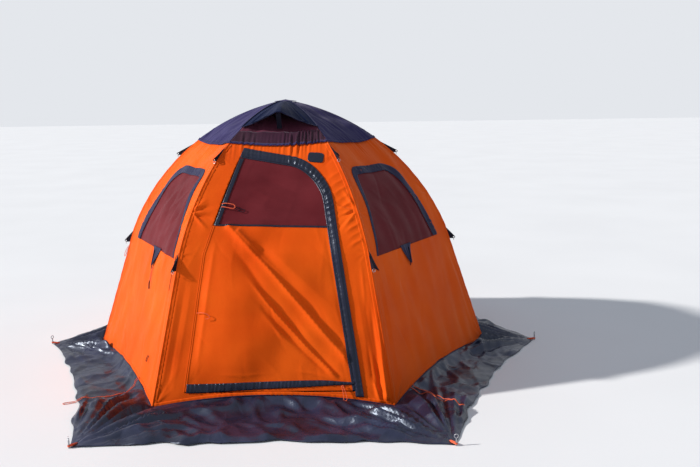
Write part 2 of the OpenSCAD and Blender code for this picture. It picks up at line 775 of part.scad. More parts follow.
roof_hub();
upper_ribs();
elbow_forks();
elbow_tongues();
lower_legs();
leg_feet();
wall(LEFT_FRONT);  // wall_left_front
wall(LEFT_BACK);  // wall_left_back
wall(BACK);  // wall_back
wall(RIGHT_BACK);  // wall_right_back
wall(RIGHT_FRONT);  // wall_right_front
front_jamb_left();
front_jamb_right();
front_header();
front_sill();
header_patch();
window(LEFT_FRONT);  // window_left_front
window(LEFT_BACK);  // window_left_back
window(BACK);  // window_back
window(RIGHT_BACK);  // window_right_back
window(RIGHT_FRONT);  // window_right_front
window_tapes();
window_tabs();
doorway_flap();
door_panel();
door_window();
door_band_low();
cap(LEFT_FRONT);  // cap_left_front
cap(LEFT_BACK);  // cap_left_back
cap(BACK);  // cap_back
cap(RIGHT_BACK);  // cap_right_back
cap(RIGHT_FRONT);  // cap_right_front
cap_front_strip();
vent_mesh();
vent_hood();
hood_stay();
peak_cover();
skirt(FRONT);  // skirt_front
skirt(LEFT_FRONT);  // skirt_left_front
skirt(LEFT_BACK);  // skirt_left_back
skirt(BACK);  // skirt_back
skirt(RIGHT_BACK);  // skirt_right_back
skirt(RIGHT_FRONT);  // skirt_right_front
skirt_pegs();
guy_tabs();
guy_rings();
swept_cord(left_route);  // side_cord_left
swept_cord(right_route);  // side_cord_right
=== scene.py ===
"""Looks of the six-sided pop-up ice fishing tent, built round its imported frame. Lengths are in metres."""
import json
import math

import bpy
import numpy as np
from mathutils import Matrix, Vector
from mathutils.bvhtree import BVHTree
from mathutils.geometry import delaunay_2d_cdt


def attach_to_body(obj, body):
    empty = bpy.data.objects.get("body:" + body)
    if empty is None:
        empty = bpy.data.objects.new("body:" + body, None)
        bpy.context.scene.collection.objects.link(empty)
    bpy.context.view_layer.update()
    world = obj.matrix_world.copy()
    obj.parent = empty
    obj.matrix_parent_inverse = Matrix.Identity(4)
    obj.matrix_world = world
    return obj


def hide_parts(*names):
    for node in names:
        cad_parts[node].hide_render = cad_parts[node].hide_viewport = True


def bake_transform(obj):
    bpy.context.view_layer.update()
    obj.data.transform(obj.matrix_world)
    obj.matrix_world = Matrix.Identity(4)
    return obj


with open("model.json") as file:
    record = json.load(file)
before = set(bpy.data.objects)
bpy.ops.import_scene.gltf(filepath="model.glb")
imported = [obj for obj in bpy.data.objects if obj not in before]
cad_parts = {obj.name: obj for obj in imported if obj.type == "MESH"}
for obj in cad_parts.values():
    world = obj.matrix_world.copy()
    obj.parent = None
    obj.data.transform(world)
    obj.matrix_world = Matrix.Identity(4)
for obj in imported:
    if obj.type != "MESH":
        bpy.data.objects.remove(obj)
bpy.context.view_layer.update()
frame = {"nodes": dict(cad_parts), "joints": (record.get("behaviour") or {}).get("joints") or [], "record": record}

# Sizes of the tent, the same as in its construction
SIDE = 1.2
ELBOW_RADIUS = 0.954
ELBOW_HEIGHT = 0.735
RIB_START_SLOPE = math.radians(67)
HUB_RADIUS = 0.06
HUB_HEIGHT = 1.485
HEM_RISE = 0.060
HEM_FOOT = 0.005
WALL_TOP = 1.300
CAP_LOW = 1.270
CAP_DROOP = 0.012
VENT_LOW = 1.330
HOOD_FOOT = 1.345
HOOD_RISE = 0.080
HOOD_REACH = 0.058
HOOD_SAG = 1.25
HOOD_STAY = 0.026
FLAT = math.cos(math.radians(30))

# Sides are numbered anticlockwise from the door wall
FRONT, RIGHT_FRONT, RIGHT_BACK, BACK, LEFT_BACK, LEFT_FRONT = range(6)
SIDE_NAMES = ["front", "right_front", "right_back", "back", "left_back", "left_front"]

# Thickness of the cloth, its trim, thin strips and window sheets, and the usual gap between points
CLOTH = 0.001
TRIM_CLOTH = 0.0012
THIN_CLOTH = 0.0008
SHEET = 0.0006
STEP = 0.012


def add_object(name, data):
    made = bpy.data.objects.new(name, data)
    bpy.context.scene.collection.objects.link(made)
    return made


# Camera, found by fitting the plan and the ridges to the photograph

CAMERA_PLACE = Vector((0.449, -4.514, 1.467))
CAMERA_YAW = math.radians(-0.958)
CAMERA_PITCH = math.radians(-9.783)
CAMERA_ROLL = math.radians(-0.804)
FOCAL_PIXELS = 746.5
PICTURE_WIDTH = 700
SENSOR = 36.0


def make_camera():
    """The camera at the photograph's place and angle."""
    ahead = Vector((math.sin(CAMERA_YAW) * math.cos(CAMERA_PITCH),
                    math.cos(CAMERA_YAW) * math.cos(CAMERA_PITCH),
                    math.sin(CAMERA_PITCH)))
    level = ahead.cross(Vector((0, 0, 1))).normalized()
    over = level.cross(ahead)
    right = level * math.cos(CAMERA_ROLL) + over * math.sin(CAMERA_ROLL)
    up = over * math.cos(CAMERA_ROLL) - level * math.sin(CAMERA_ROLL)
    turn = Matrix((right, up, -ahead)).transposed()
    data = bpy.data.cameras.new("camera")
    data.sensor_width = SENSOR
    data.lens = FOCAL_PIXELS / PICTURE_WIDTH * SENSOR
    camera = add_object("camera", data)
    camera.matrix_world = Matrix.Translation(CAMERA_PLACE) @ turn.to_4x4()
    bpy.context.scene.camera = camera


# Shape of the walls

def unit(v):
    return v / np.linalg.norm(v)


def pairs(u, z):
    """Points of a flat plane, from their two coordinates."""
    return np.stack(np.broadcast_arrays(u, z), axis=-1)


def smooth(low, high, x):
    """0 up to low, 1 from high, with a soft change between."""
    t = np.clip((np.asarray(x, float) - low) / (high - low), 0, 1)
    return t * t * (3 - 2 * t)


RIB_PULL = np.array([-math.sin(RIB_START_SLOPE), -math.cos(RIB_START_SLOPE)])
RIB_CHORD = np.array([HUB_RADIUS - ELBOW_RADIUS, HUB_HEIGHT - ELBOW_HEIGHT])
RIB_CURVE = float(RIB_CHORD @ RIB_CHORD / (2 * (RIB_PULL @ RIB_CHORD)))
RIB_CENTRE = np.array([ELBOW_RADIUS, ELBOW_HEIGHT]) + RIB_CURVE * RIB_PULL
START_TURN = math.radians(90) - RIB_START_SLOPE
END_TURN = math.atan2(HUB_HEIGHT - RIB_CENTRE[1], HUB_RADIUS - RIB_CENTRE[0])
LEG_RUN = SIDE - ELBOW_RADIUS


def ridge(z):
    """Distance of a corner ridge from the middle at a height."""
    z = np.asarray(z, float)
    arc = RIB_CENTRE[0] + np.sqrt(np.maximum(RIB_CURVE ** 2 - (z - RIB_CENTRE[1]) ** 2, 0))
    return np.where(z <= ELBOW_HEIGHT, SIDE - LEG_RUN * z / ELBOW_HEIGHT, arc)


def profile_table():
    """Length along the middle of a wall, with the distance and height there and the outward direction."""
    leg = np.linspace(0, 1, 60)[:-1]
    turn = np.linspace(START_TURN, END_TURN, 160)
    radius = np.concatenate([SIDE - LEG_RUN * leg, RIB_CENTRE[0] + RIB_CURVE * np.cos(turn)])
    height = np.concatenate([ELBOW_HEIGHT * leg, RIB_CENTRE[1] + RIB_CURVE * np.sin(turn)])
    away = FLAT * radius
    length = np.concatenate([[0], np.cumsum(np.hypot(np.diff(away), np.diff(height)))])
    slope_away, slope_up = np.gradient(away, length), np.gradient(height, length)
    size = np.hypot(slope_away, slope_up)
    return length, away, height, slope_up / size, -slope_away / size


LENGTH, AWAY, HEIGHT, OUT_AWAY, OUT_UP = profile_table()
TOP = float(LENGTH[-1])


def length_at(z):
    """Length along the middle of a wall at a height."""
    return np.interp(z, HEIGHT, LENGTH)


def height_at(s):
    return np.interp(s, LENGTH, HEIGHT)


def half_at(s):
    """Half the width of a wall at a length up it."""
    return np.interp(s, LENGTH, AWAY) / FLAT / 2


def on_side(side, u, s, lift):
    """Points of a wall: u to the right seen from outside, s up along it, lift outward."""
    away = np.interp(s, LENGTH, AWAY) + lift * np.interp(s, LENGTH, OUT_AWAY)
    z = np.interp(s, LENGTH, HEIGHT) + lift * np.interp(s, LENGTH, OUT_UP)
    a = math.radians(60 * side)
    x = u * math.cos(a) + away * math.sin(a)
    y = u * math.sin(a) - away * math.cos(a)
    return np.stack([x, y, z], axis=-1)


# Outlines in the flat plane of a wall

def moved(points, outward):
    """Edges of a polygon moved outward, each by its own amount, for corners listed anticlockwise."""
    n = len(points)
    made = []
    for i in range(n):
        h, j = (i - 1) % n, (i + 1) % n
        u, v = points[i] - points[h], points[j] - points[i]
        p = points[i] + outward[h] * unit(np.array([u[1], -u[0]]))
        q = points[i] + outward[i] * unit(np.array([v[1], -v[0]]))
        t = ((q[0] - p[0]) * v[1] - (q[1] - p[1]) * v[0]) / (u[0] * v[1] - u[1] * v[0])
        made.append(p + t * u)
    return made


def rounded(points, radii, steps=24):
    """A polygon with its corners rounded, each by its own radius."""
    n = len(points)
    made = []
    for i, (p, r) in enumerate(zip(points, radii)):
        if r <= 0:
            made.append(p)
            continue
        u, v = unit(points[i - 1] - p), unit(points[(i + 1) % n] - p)
        half = math.acos(np.clip(u @ v, -1, 1)) / 2
        middle = p + unit(u + v) * r / math.sin(half)
        first = p + u * r / math.tan(half) - middle
        start, turn = math.atan2(first[1], first[0]), math.pi - 2 * half
        for k in range(steps + 1):
            a = start + turn * k / steps
            made.append(middle + r * np.array([math.cos(a), math.sin(a)]))
    return made


def corners(*points):
    return [np.array(p, float) for p in points]


def half_wall(z):
    return ridge(z) / 2


# Outer edge of the window tape, with the tight corner on the left, and the opening inside it
WINDOW_LOW = 0.700
WINDOW_HIGH = 1.138
WINDOW_CORNERS = corners((-half_wall(WINDOW_LOW) + 0.082, WINDOW_LOW),
                         (half_wall(WINDOW_LOW) - 0.140, WINDOW_LOW),
                         (half_wall(WINDOW_HIGH) - 0.125, WINDOW_HIGH),
                         (-half_wall(WINDOW_HIGH) + 0.082, WINDOW_HIGH))
WINDOW_RADII = [0, 0, 0.160, 0.070]
WINDOW_TAPE = 0.036
WINDOW_TAPE_FAR = 0.055
WINDOW_TAPE_FOOT = 0.008

# Doorway, with the bend of its seam at the elbow
DOOR_LOW = 0.072
DOOR_HIGH = 1.211
DOOR_HIGH_RIGHT = 1.140
DOOR_CORNERS = corners((-half_wall(DOOR_LOW) + 0.150, DOOR_LOW),
                       (half_wall(DOOR_LOW) - 0.180, DOOR_LOW),
                       (half_wall(DOOR_HIGH_RIGHT) - 0.101, DOOR_HIGH_RIGHT),
                       (-half_wall(DOOR_HIGH) + 0.108, DOOR_HIGH),
                       (-half_wall(ELBOW_HEIGHT) + 0.124, ELBOW_HEIGHT))
DOOR_ROUND = 0.250
DOOR_WINDOW_LEFT = 0.877
DOOR_WINDOW_RIGHT = 0.856
FLAP_WIDTH = 0.037
FLAP_FOOT = 0.024

# Bare patch on the front wall
PATCH_WIDTH = 0.084
PATCH_HEIGHT = 0.046
PATCH_ROUND = 0.014
PATCH_SHIFT = 0.206
PATCH_HIGH = 1.195
PATCH_TURN = 6


OPENING_INNER = moved(WINDOW_CORNERS, [0, -WINDOW_TAPE_FAR, -WINDOW_TAPE, -WINDOW_TAPE])
OPENING_CORNERS = [WINDOW_CORNERS[0] + np.array([WINDOW_TAPE_FOOT, 0]), *OPENING_INNER[1:]]
OPENING_RADII = [0, 0, WINDOW_RADII[2] - WINDOW_TAPE, WINDOW_RADII[3] - WINDOW_TAPE]


def opening_outline(outward):
    radii = [r + outward if r > 0 else 0 for r in OPENING_RADII]
    return rounded(moved(OPENING_CORNERS, [outward] * 4), radii)


def door_outline(outward):
    """Doorway outline with its lower, right, upper and two left edges moved outward."""
    return rounded(moved(DOOR_CORNERS, outward), [0, 0, DOOR_ROUND + outward[1], 0, 0])


def door_window_line(u):
    """Height of the lower edge of the door window."""
    left, right = DOOR_CORNERS[0][0], DOOR_CORNERS[1][0]
    return DOOR_WINDOW_LEFT + (DOOR_WINDOW_RIGHT - DOOR_WINDOW_LEFT) * (u - left) / (right - left)


HEM_ARCH = HEM_RISE - HEM_FOOT
HEM_CURVE = ((SIDE / 2) ** 2 + HEM_ARCH ** 2) / (2 * HEM_ARCH)


def hem_at(u):
    """Height of a wall's arched hem."""
    return HEM_RISE - HEM_CURVE + np.sqrt(HEM_CURVE ** 2 - np.asarray(u) ** 2)


def flat_from_heights(points):
    """Outline given in heights, as lengths up the wall."""
    p = np.array(points, float)
    return pairs(p[:, 0], length_at(p[:, 1]))


def spaced_loop(points, step):
    """A closed outline with points about step apart."""
    p = np.vstack([points, points[:1]])
    made = []
    for a, b in zip(p[:-1], p[1:]):
        n = max(1, int(math.ceil(np.linalg.norm(b - a) / step)))
        for k in range(n):
            made.append(a + (b - a) * k / n)
    return np.array(made)


def panel(foot, half, high, rows):
    """Outline of a wall or cap panel from its hem to a level, where half gives half its width."""
    u = np.linspace(-1, 1, len(foot))
    sides = np.linspace(foot[-1], high, rows)
    bottom = pairs(u * half(foot), foot)
    right = pairs(half(sides), sides)
    top = pairs(u[::-1] * half(high), high)
    left = pairs(-half(sides[::-1]), sides[::-1])
    return np.vstack([bottom[:-1], right[:-1], top[:-1], left[:-1]])


def whole_wall():
    """Outline of the full width of a wall, from its arched hem to its top."""
    foot = hem_at(np.linspace(-1, 1, 90) * half_wall(HEM_FOOT))
    return flat_from_heights(panel(foot, half_wall, WALL_TOP, 90))


def inside(loop, points):
    """Which points lie inside a closed outline."""
    x, y = points[:, 0], points[:, 1]
    found = np.zeros(len(points), bool)
    for a, b in zip(loop, np.roll(loop, -1, axis=0)):
        if a[1] == b[1]:
            continue
        crosses = (a[1] > y) != (b[1] > y)
        found ^= crosses & (x < (b[0] - a[0]) * (y - a[1]) / (b[1] - a[1]) + a[0])
    return found


def near_loop(loop, points, distance):
    """Which points lie within a distance of an outline."""
    found = np.zeros(len(points), bool)
    for a, b in zip(loop, np.roll(loop, -1, axis=0)):
        d = b - a
        t = np.clip((points - a) @ d / max(d @ d, 1e-12), 0, 1)
        found |= np.linalg.norm(points - a - t[:, None] * d, axis=1) < distance
    return found


def filled(outline, holes=(), step=STEP):
    """Points and triangles that fill a flat outline and leave out its holes."""
    loops = [spaced_loop(np.array(loop, float), step) for loop in [outline, *holes]]
    low, high = loops[0].min(0), loops[0].max(0)
    rows = np.arange(low[1], high[1], step * FLAT)
    grid = np.array([(x + (i % 2) * step / 2, y) for i, y in enumerate(rows)
                     for x in np.arange(low[0], high[0], step)])
    keep = inside(loops[0], grid) & ~near_loop(loops[0], grid, step * 0.5)
    for hole in loops[1:]:
        keep &= ~inside(hole, grid) & ~near_loop(hole, grid, step * 0.5)
    points, edges = [], []
    for loop in loops:
        first = len(points)
        points += [Vector(p) for p in loop]
        edges += [(first + k, first + (k + 1) % len(loop)) for k in range(len(loop))]
    points += [Vector(p) for p in grid[keep]]
    verts, _, faces, _, _, _ = delaunay_2d_cdt(points, edges, [], 0, 1e-7)
    verts = np.array([tuple(v) for v in verts])
    faces = np.array(faces)
    middle = verts[faces].mean(axis=1)
    keep = inside(loops[0], middle)
    for hole in loops[1:]:
        keep &= ~inside(hole, middle)
    faces = faces[keep]
    a, b, c = (verts[faces[:, k]] for k in range(3))
    turned = (b - a)[:, 0] * (c - a)[:, 1] - (b - a)[:, 1] * (c - a)[:, 0] < 0
    faces[turned] = faces[turned][:, ::-1]
    return verts, faces


def finer(verts, faces):
    """The same triangles, each cut into four."""
    edges = np.sort(np.vstack([faces[:, [0, 1]], faces[:, [1, 2]], faces[:, [2, 0]]]), axis=1)
    each, where = np.unique(edges, axis=0, return_inverse=True)
    ab, bc, ca = np.split(where.ravel() + len(verts), 3)
    a, b, c = faces.T
    made = [np.stack(t, axis=1) for t in ((a, ab, ca), (ab, b, bc), (ca, bc, c), (ab, bc, ca))]
    return np.vstack([verts, verts[each].mean(axis=1)]), np.vstack(made)


def ladder(first, second, step, columns):
    """Grid of points between two lines of as many points, with the distance along and the share across."""
    a, b = np.array(first, float), np.array(second, float)
    gaps = np.linalg.norm(np.diff((a + b) / 2, axis=0), axis=1)
    far = np.concatenate([[0], np.cumsum(gaps)])
    at = np.linspace(0, far[-1], int(math.ceil(far[-1] / step)) + 1)
    p, q = (np.stack([np.interp(at, far, line[:, k]) for k in (0, 1)], axis=1) for line in (a, b))
    t = np.linspace(0, 1, columns)
    points = p[:, None] * (1 - t)[None, :, None] + q[:, None] * t[None, :, None]
    return points, np.repeat(at[:, None], columns, axis=1), np.repeat(t[None, :], len(at), axis=0)


# Folds and wrinkles, as heights over the flat plane of a wall

class Waves:
    """A sum of sine waves with seeded directions, lengths and phases, of about unit height."""

    def __init__(self, seed, low, high, angle=0, spread=180, count=18):
        r = np.random.default_rng(seed)
        turn = np.radians(angle + spread * r.uniform(-1, 1, count))
        size = 2 * math.pi / np.exp(r.uniform(math.log(low), math.log(high), count))
        self.kx, self.ky = size * np.cos(turn), size * np.sin(turn)
        self.phase = r.uniform(0, 2 * math.pi, count)

    def __call__(self, x, y):
        x, y = np.asarray(x, float), np.asarray(y, float)
        total = np.zeros(np.broadcast(x, y).shape)
        for kx, ky, phase in zip(self.kx, self.ky, self.phase):
            total += np.sin(kx * x + ky * y + phase)
        return total * math.sqrt(2 / len(self.phase))


class Fold:
    """A fold along a line, highest on it, with a width at each end; lean makes its left flank wider."""

    def __init__(self, points, width, height, ends=(0.2, 0.2), sharp=1.4, lean=1.0):
        p = np.array(points, float)
        chord = p[-1] - p[0]
        self.start, self.long = p[0], np.linalg.norm(chord)
        self.way = chord / self.long
        self.over = np.array([-self.way[1], self.way[0]])
        self.at = (p - p[0]) @ self.way / self.long
        self.off = (p - p[0]) @ self.over
        self.width = np.broadcast_to(width, 2)
        self.height, self.ends, self.sharp, self.lean = height, ends, sharp, lean

    def __call__(self, u, z):
        du, dz = u - self.start[0], z - self.start[1]
        t = (du * self.way[0] + dz * self.way[1]) / self.long
        across = du * self.over[0] + dz * self.over[1] - np.interp(t, self.at, self.off)
        width = np.interp(t, [0, 1], self.width) * np.where(across > 0, self.lean, 1.0)
        fade = smooth(0, self.ends[0], t) * smooth(0, self.ends[1], 1 - t)
        return self.height * fade * np.exp(-np.abs(across / width) ** self.sharp)


def total(folds, u, z):
    made = np.zeros(np.broadcast(u, z).shape)
    for fold in folds:
        made = made + fold(u, z)
    return made


def gathers(seed, centre, aim, spread, count, reach, width, height):
    """Folds that run out of a point within a spread of angles, high and hollow in turn."""
    r = np.random.default_rng(seed)
    made = []
    for i in range(count):
        angle = math.radians(aim + spread * (2 * (i + r.uniform(0.25, 0.75)) / count - 1))
        way = np.array([math.cos(angle), math.sin(angle)])
        over = np.array([-way[1], way[0]])
        long, bend = reach * r.uniform(0.55, 1.1), r.uniform(-0.10, 0.10)
        foot = np.array(centre) + r.uniform(-0.012, 0.012) * np.array([0, 1])
        points = [foot + way * long * t + over * long * bend * t * t for t in (0, 0.35, 0.7, 1)]
        high = height * r.uniform(0.5, 1.2) * (1 if i % 2 == 0 else -0.8)
        made.append(Fold(points, (width * 0.6, width * 1.5), high, (0.22, 0.75)))
    return made


def loose_folds(seed, count, low, high, width, height, angle=90, spread=35):
    """Short soft folds strewn over a wall between two heights."""
    r = np.random.default_rng(seed)
    made = []
    for _ in range(count):
        z = r.uniform(low, high)
        u = r.uniform(-0.86, 0.86) * half_wall(z)
        a = math.radians(angle + spread * r.uniform(-1, 1))
        long, bend = r.uniform(0.12, 0.40), r.uniform(-0.14, 0.14)
        way, over = np.array([math.cos(a), math.sin(a)]), np.array([-math.sin(a), math.cos(a)])
        points = [np.array([u, z]) + way * long * (t - 0.5) + over * long * bend * (1 - 4 * (t - 0.5) ** 2)
                  for t in (0, 0.25, 0.5, 0.75, 1)]
        w = width * r.uniform(0.6, 1.6)
        widths = (w, w * r.uniform(0.5, 1.4))
        rise = height * r.uniform(0.4, 1.1) * r.choice([-1, 1])
        made.append(Fold(points, widths, rise, (0.45, 0.45)))
    return made


# Heights at which folds gather out of the ridges
PINCH = 0.935
UPPER_PINCH = 1.20


def side_folds(side):
    """Folds of one wall: gathers out of the ridges, slack beside them, and loose folds between."""
    strong = side in (FRONT, LEFT_FRONT)
    made = loose_folds(300 + side, 26, 0.10, 1.15, 0.013, 0.0012 if side == FRONT else 0.0022)
    for way in (-1, 1):
        inward = 0 if way < 0 else 180
        seed = 400 + 10 * side + way
        high = 0.0095 if side == FRONT and way < 0 else 0.0080 if strong else 0.0036
        count, reach = (13, 0.19) if side == FRONT and way > 0 else (9, 0.15)
        made += gathers(seed, (way * half_wall(PINCH), PINCH), inward, 52, count, reach, 0.0085, high)
        elbow = (way * half_wall(ELBOW_HEIGHT), ELBOW_HEIGHT)
        made += gathers(seed + 2, elbow, inward, 60, 7, 0.10, 0.007, 0.0020)
        upper = (way * half_wall(UPPER_PINCH), UPPER_PINCH)
        made += gathers(seed + 4, upper, inward, 40, 6, 0.11, 0.007, 0.0022)
        made += gathers(seed + 6, (way * half_wall(0.01), 0.0), 90 + way * 32, 26, 6, 0.26, 0.011, 0.0038)
        for k in range(3):
            off = 0.030 + 0.030 * k
            line = [(way * (half_wall(z) - off), z) for z in (0.06, 0.25, 0.45, 0.68)]
            made.append(Fold(line, (0.009, 0.012), (0.0026, -0.0022, 0.0014)[k], (0.2, 0.4)))
    return made


SIDE_FOLDS = [side_folds(side) for side in range(6)]
SIDE_FOLDS[FRONT] += [
    Fold([(0.486, 0.150), (0.510, 0.080), (0.534, 0.015)], (0.006, 0.014), 0.0120, (0.5, 0.08)),
    Fold([(0.525, 0.330), (0.546, 0.160), (0.564, 0.010)], (0.005, 0.013), 0.0120, (0.5, 0.08)),
    Fold([(0.500, 0.260), (0.524, 0.120), (0.545, 0.020)], (0.006, 0.010), -0.0080, (0.4, 0.2)),
    Fold([(0.462, 0.330), (0.486, 0.170), (0.510, 0.030)], (0.007, 0.012), -0.0060, (0.5, 0.2)),
    Fold([(0.505, 0.640), (0.530, 0.360), (0.566, 0.020)], (0.010, 0.012), 0.0090, (0.4, 0.06), 1.3, 1.6),
    Fold([(0.480, 0.560), (0.502, 0.340), (0.540, 0.050)], (0.012, 0.012), -0.0070, (0.4, 0.2)),
    *[Fold([(half_wall(z) - 0.006, z), (half_wall(z) - 0.050, z - 0.020), (half_wall(z) - 0.092, z - 0.050)],
           (0.006, 0.010), high, (0.12, 0.6))
      for z, high in zip(np.arange(0.80, 1.13, 0.036),
                         (0.0046, 0.0030, 0.0052, 0.0026, 0.0044, 0.0050, 0.0028, 0.0042, 0.0034, 0.0030))],
    Fold([(0.440, 0.700), (0.452, 0.560), (0.462, 0.430)], (0.008, 0.010), 0.0035, (0.4, 0.4))]
PLEATS = [Waves(10 + k, 0.018, 0.040, 0, 9, 10) for k in range(6)]
PLEAT_SHARE = [Waves(20 + k, 0.12, 0.40, 0, 20, 6) for k in range(6)]
SLOW = [Waves(30 + k, 0.16, 0.50, 0, 180, 12) for k in range(6)]
UPRIGHT = [Waves(40 + k, 0.09, 0.26, 0, 14, 12) for k in range(6)]


def wall_lift(side, u, s):
    """Height of a wall's cloth over its flat form."""
    z, half = height_at(s), half_at(s)
    t = u / half
    rim = smooth(0, 0.022, half - np.abs(u)) * smooth(0, 0.05, s)
    free = smooth(0, 0.22, 1 - np.abs(t)) * smooth(0, 0.08, s)
    lift = -0.009 * (1 - t * t) * smooth(0.60, 1.05, z)
    upright = 0.0002 if side == FRONT else 0.0010
    lift = lift + (0.0022 * SLOW[side](u, s) + upright * UPRIGHT[side](u, s * 0.35)) * free
    lift = lift + total(SIDE_FOLDS[side], u, z) * rim
    share = np.clip(0.55 + 0.6 * PLEAT_SHARE[side](u, s), 0.1, 1.6)
    if side == FRONT:
        share = np.clip(share, 0.5, 1.4) * (0.8 + 0.3 * smooth(-0.05, 0.12, u))
    lift = lift + 0.0019 * PLEATS[side](u, s * 0.15) * share * smooth(1.16, 1.265, z) * rim
    return lift


# Folds of the door: the long ones run down to its lower right corner
DOOR_FOLDS = [
    Fold([(-0.250, 0.885), (-0.036, 0.672), (0.125, 0.492), (0.253, 0.347), (0.415, 0.170)], (0.012, 0.013),
         0.0245, (0.03, 0.10), 1.2, 2.2),
    Fold([(-0.190, 0.850), (0.012, 0.657), (0.145, 0.523)], (0.008, 0.008), 0.0080, (0.03, 0.5), 1.3, 1.8),
    Fold([(-0.120, 0.790), (-0.020, 0.688), (0.160, 0.500), (0.395, 0.235)],
         (0.030, 0.020), -0.0150, (0.1, 0.2)),
    Fold([(-0.057, 0.790), (0.118, 0.625), (0.350, 0.425)], (0.060, 0.045), 0.0140, (0.3, 0.5)),
    Fold([(-0.240, 0.800), (-0.136, 0.680), (-0.048, 0.556), (0.067, 0.418), (0.224, 0.242), (0.355, 0.130)],
         (0.030, 0.014), -0.0130, (0.2, 0.1)),
    Fold([(-0.150, 0.640), (0.010, 0.448), (0.153, 0.297), (0.330, 0.125)],
         (0.009, 0.009), 0.0155, (0.3, 0.1),
         1.2, 1.8),
    Fold([(-0.130, 0.560), (0.015, 0.400), (0.150, 0.262), (0.310, 0.122)],
         (0.016, 0.008), -0.0070, (0.4, 0.2)),
    Fold([(-0.077, 0.477), (0.039, 0.339), (0.150, 0.250)], (0.014, 0.010), 0.0072, (0.4, 0.5)),
    Fold([(0.070, 0.180), (0.190, 0.158), (0.345, 0.118)], (0.008, 0.006), 0.0025, (0.4, 0.3)),
    Fold([(-0.320, 0.160), (-0.150, 0.150), (0.020, 0.165)], (0.007, 0.007), 0.0016, (0.4, 0.4)),
    Fold([(0.255, 0.860), (0.300, 0.640), (0.345, 0.400), (0.385, 0.180)],
         (0.012, 0.010), -0.0030, (0.2, 0.2)),
    Fold([(-0.290, 0.840), (-0.316, 0.640), (-0.345, 0.420), (-0.385, 0.160)],
         (0.012, 0.012), 0.0022, (0.2, 0.2))]
DOOR_FOLDS += loose_folds(90, 22, 0.12, 0.80, 0.012, 0.0020, 130, 30)
PANE_FOLDS = [
    Fold([(-0.150, 1.060), (-0.040, 1.010), (0.110, 0.962)], (0.010, 0.016), 0.0035, (0.4, 0.5)),
    Fold([(-0.180, 0.985), (-0.020, 0.955), (0.200, 0.930)], (0.022, 0.030), 0.0060, (0.3, 0.4)),
    Fold([(-0.260, 0.930), (-0.080, 0.900), (0.160, 0.880)], (0.014, 0.018), 0.0035, (0.3, 0.4)),
    Fold([(-0.120, 1.130), (0.060, 1.050), (0.200, 0.985)], (0.020, 0.030), -0.0050, (0.3, 0.4))]


def seam_at(z):
    """Distance from the middle of the front wall to the door's sewn edge at a height."""
    return np.interp(z, [DOOR_LOW, ELBOW_HEIGHT, DOOR_HIGH], [DOOR_CORNERS[k][0] for k in (0, 4, 3)])


def zip_at(z):
    """The same to the door's free edge on the right, as if its upper corner weren't round."""
    return np.interp(z, [DOOR_LOW, DOOR_HIGH_RIGHT], [DOOR_CORNERS[k][0] for k in (1, 2)])


def door_lift(u, s):
    """Extra height of the door's cloth over that of the wall."""
    z = height_at(s)
    held = smooth(0, 0.05, u - seam_at(z)) * smooth(0, 0.030, zip_at(z) - u)
    pane = smooth(-0.010, 0.030, z - door_window_line(u))
    billow = 0.026 * np.exp(-((u + 0.19) / 0.17) ** 2) * smooth(0.06, 0.30, z) * (1 - smooth(0.45, 0.86, z))
    lift = (total(DOOR_FOLDS, u, z) + billow) * (1 - pane)
    return held * (lift + total(PANE_FOLDS, u, z) * smooth(0, 0.03, z - door_window_line(u)))


# Materials

WHITE = (1, 1, 1, 1)
BLUE_GLOSS = (0.68, 0.80, 1.0, 1)
THREAD = 0.0012


def srgb(r, g, b):
    """A colour written as it shows, turned into the shader's own numbers."""
    made = []
    for c in (r, g, b):
        c = c / 255
        made.append(c / 12.92 if c <= 0.04045 else ((c + 0.055) / 1.055) ** 2.4)
    return (*made, 1)


def fill(tree, target, inputs):
    """Gives inputs of a node their plain values, or links them to outputs of other nodes."""
    for name, value in inputs.items():
        if isinstance(value, bpy.types.NodeSocket):
            tree.links.new(value, target.inputs[name])
        else:
            target.inputs[name].default_value = value


def node(tree, kind, inputs, **settings):
    made = tree.nodes.new("ShaderNode" + kind)
    for setting, value in settings.items():
        setattr(made, setting, value)
    fill(tree, made, inputs)
    return made


def place(tree, stretch=(1, 1, 1)):
    """Coordinates of the object, scaled along each axis."""
    source = node(tree, "TexCoord", {}).outputs["Object"]
    return node(tree, "Mapping", {"Scale": stretch, "Vector": source}).outputs["Vector"]


def noise(tree, scale, detail, rough=0.5, stretch=(1, 1, 1), kind="FBM"):
    inputs = {"Scale": scale, "Detail": detail, "Roughness": rough, "Vector": place(tree, stretch)}
    return node(tree, "TexNoise", inputs, noise_type=kind).outputs["Fac"]


def arithmetic(tree, operation, a, b):
    return node(tree, "Math", {0: a, 1: b}, operation=operation).outputs[0]


def between_colours(tree, factor, low_at, low, high_at, high):
    """A colour that goes from low to high with a factor."""
    ramp = node(tree, "ValToRGB", {"Fac": factor})
    for element, at, colour in zip(ramp.color_ramp.elements, (low_at, high_at), (low, high)):
        element.position = at
        element.color = colour
    return ramp.outputs["Color"]


def weave(tree, pitch=THREAD):
    """Height of a plain weave: two sets of threads across each other, and their third direction."""
    inputs = {"Scale": 0.314 / pitch, "Distortion": 0.4, "Detail": 1, "Detail Scale": 2}
    first, second, third = (
        node(tree, "TexWave", {**inputs, "Vector": place(tree)}, wave_type="BANDS", bands_direction=axis)
        for axis in "XYZ")
    both = arithmetic(tree, "ADD", first.outputs["Fac"], second.outputs["Fac"])
    return arithmetic(tree, "ADD", both, third.outputs["Fac"])


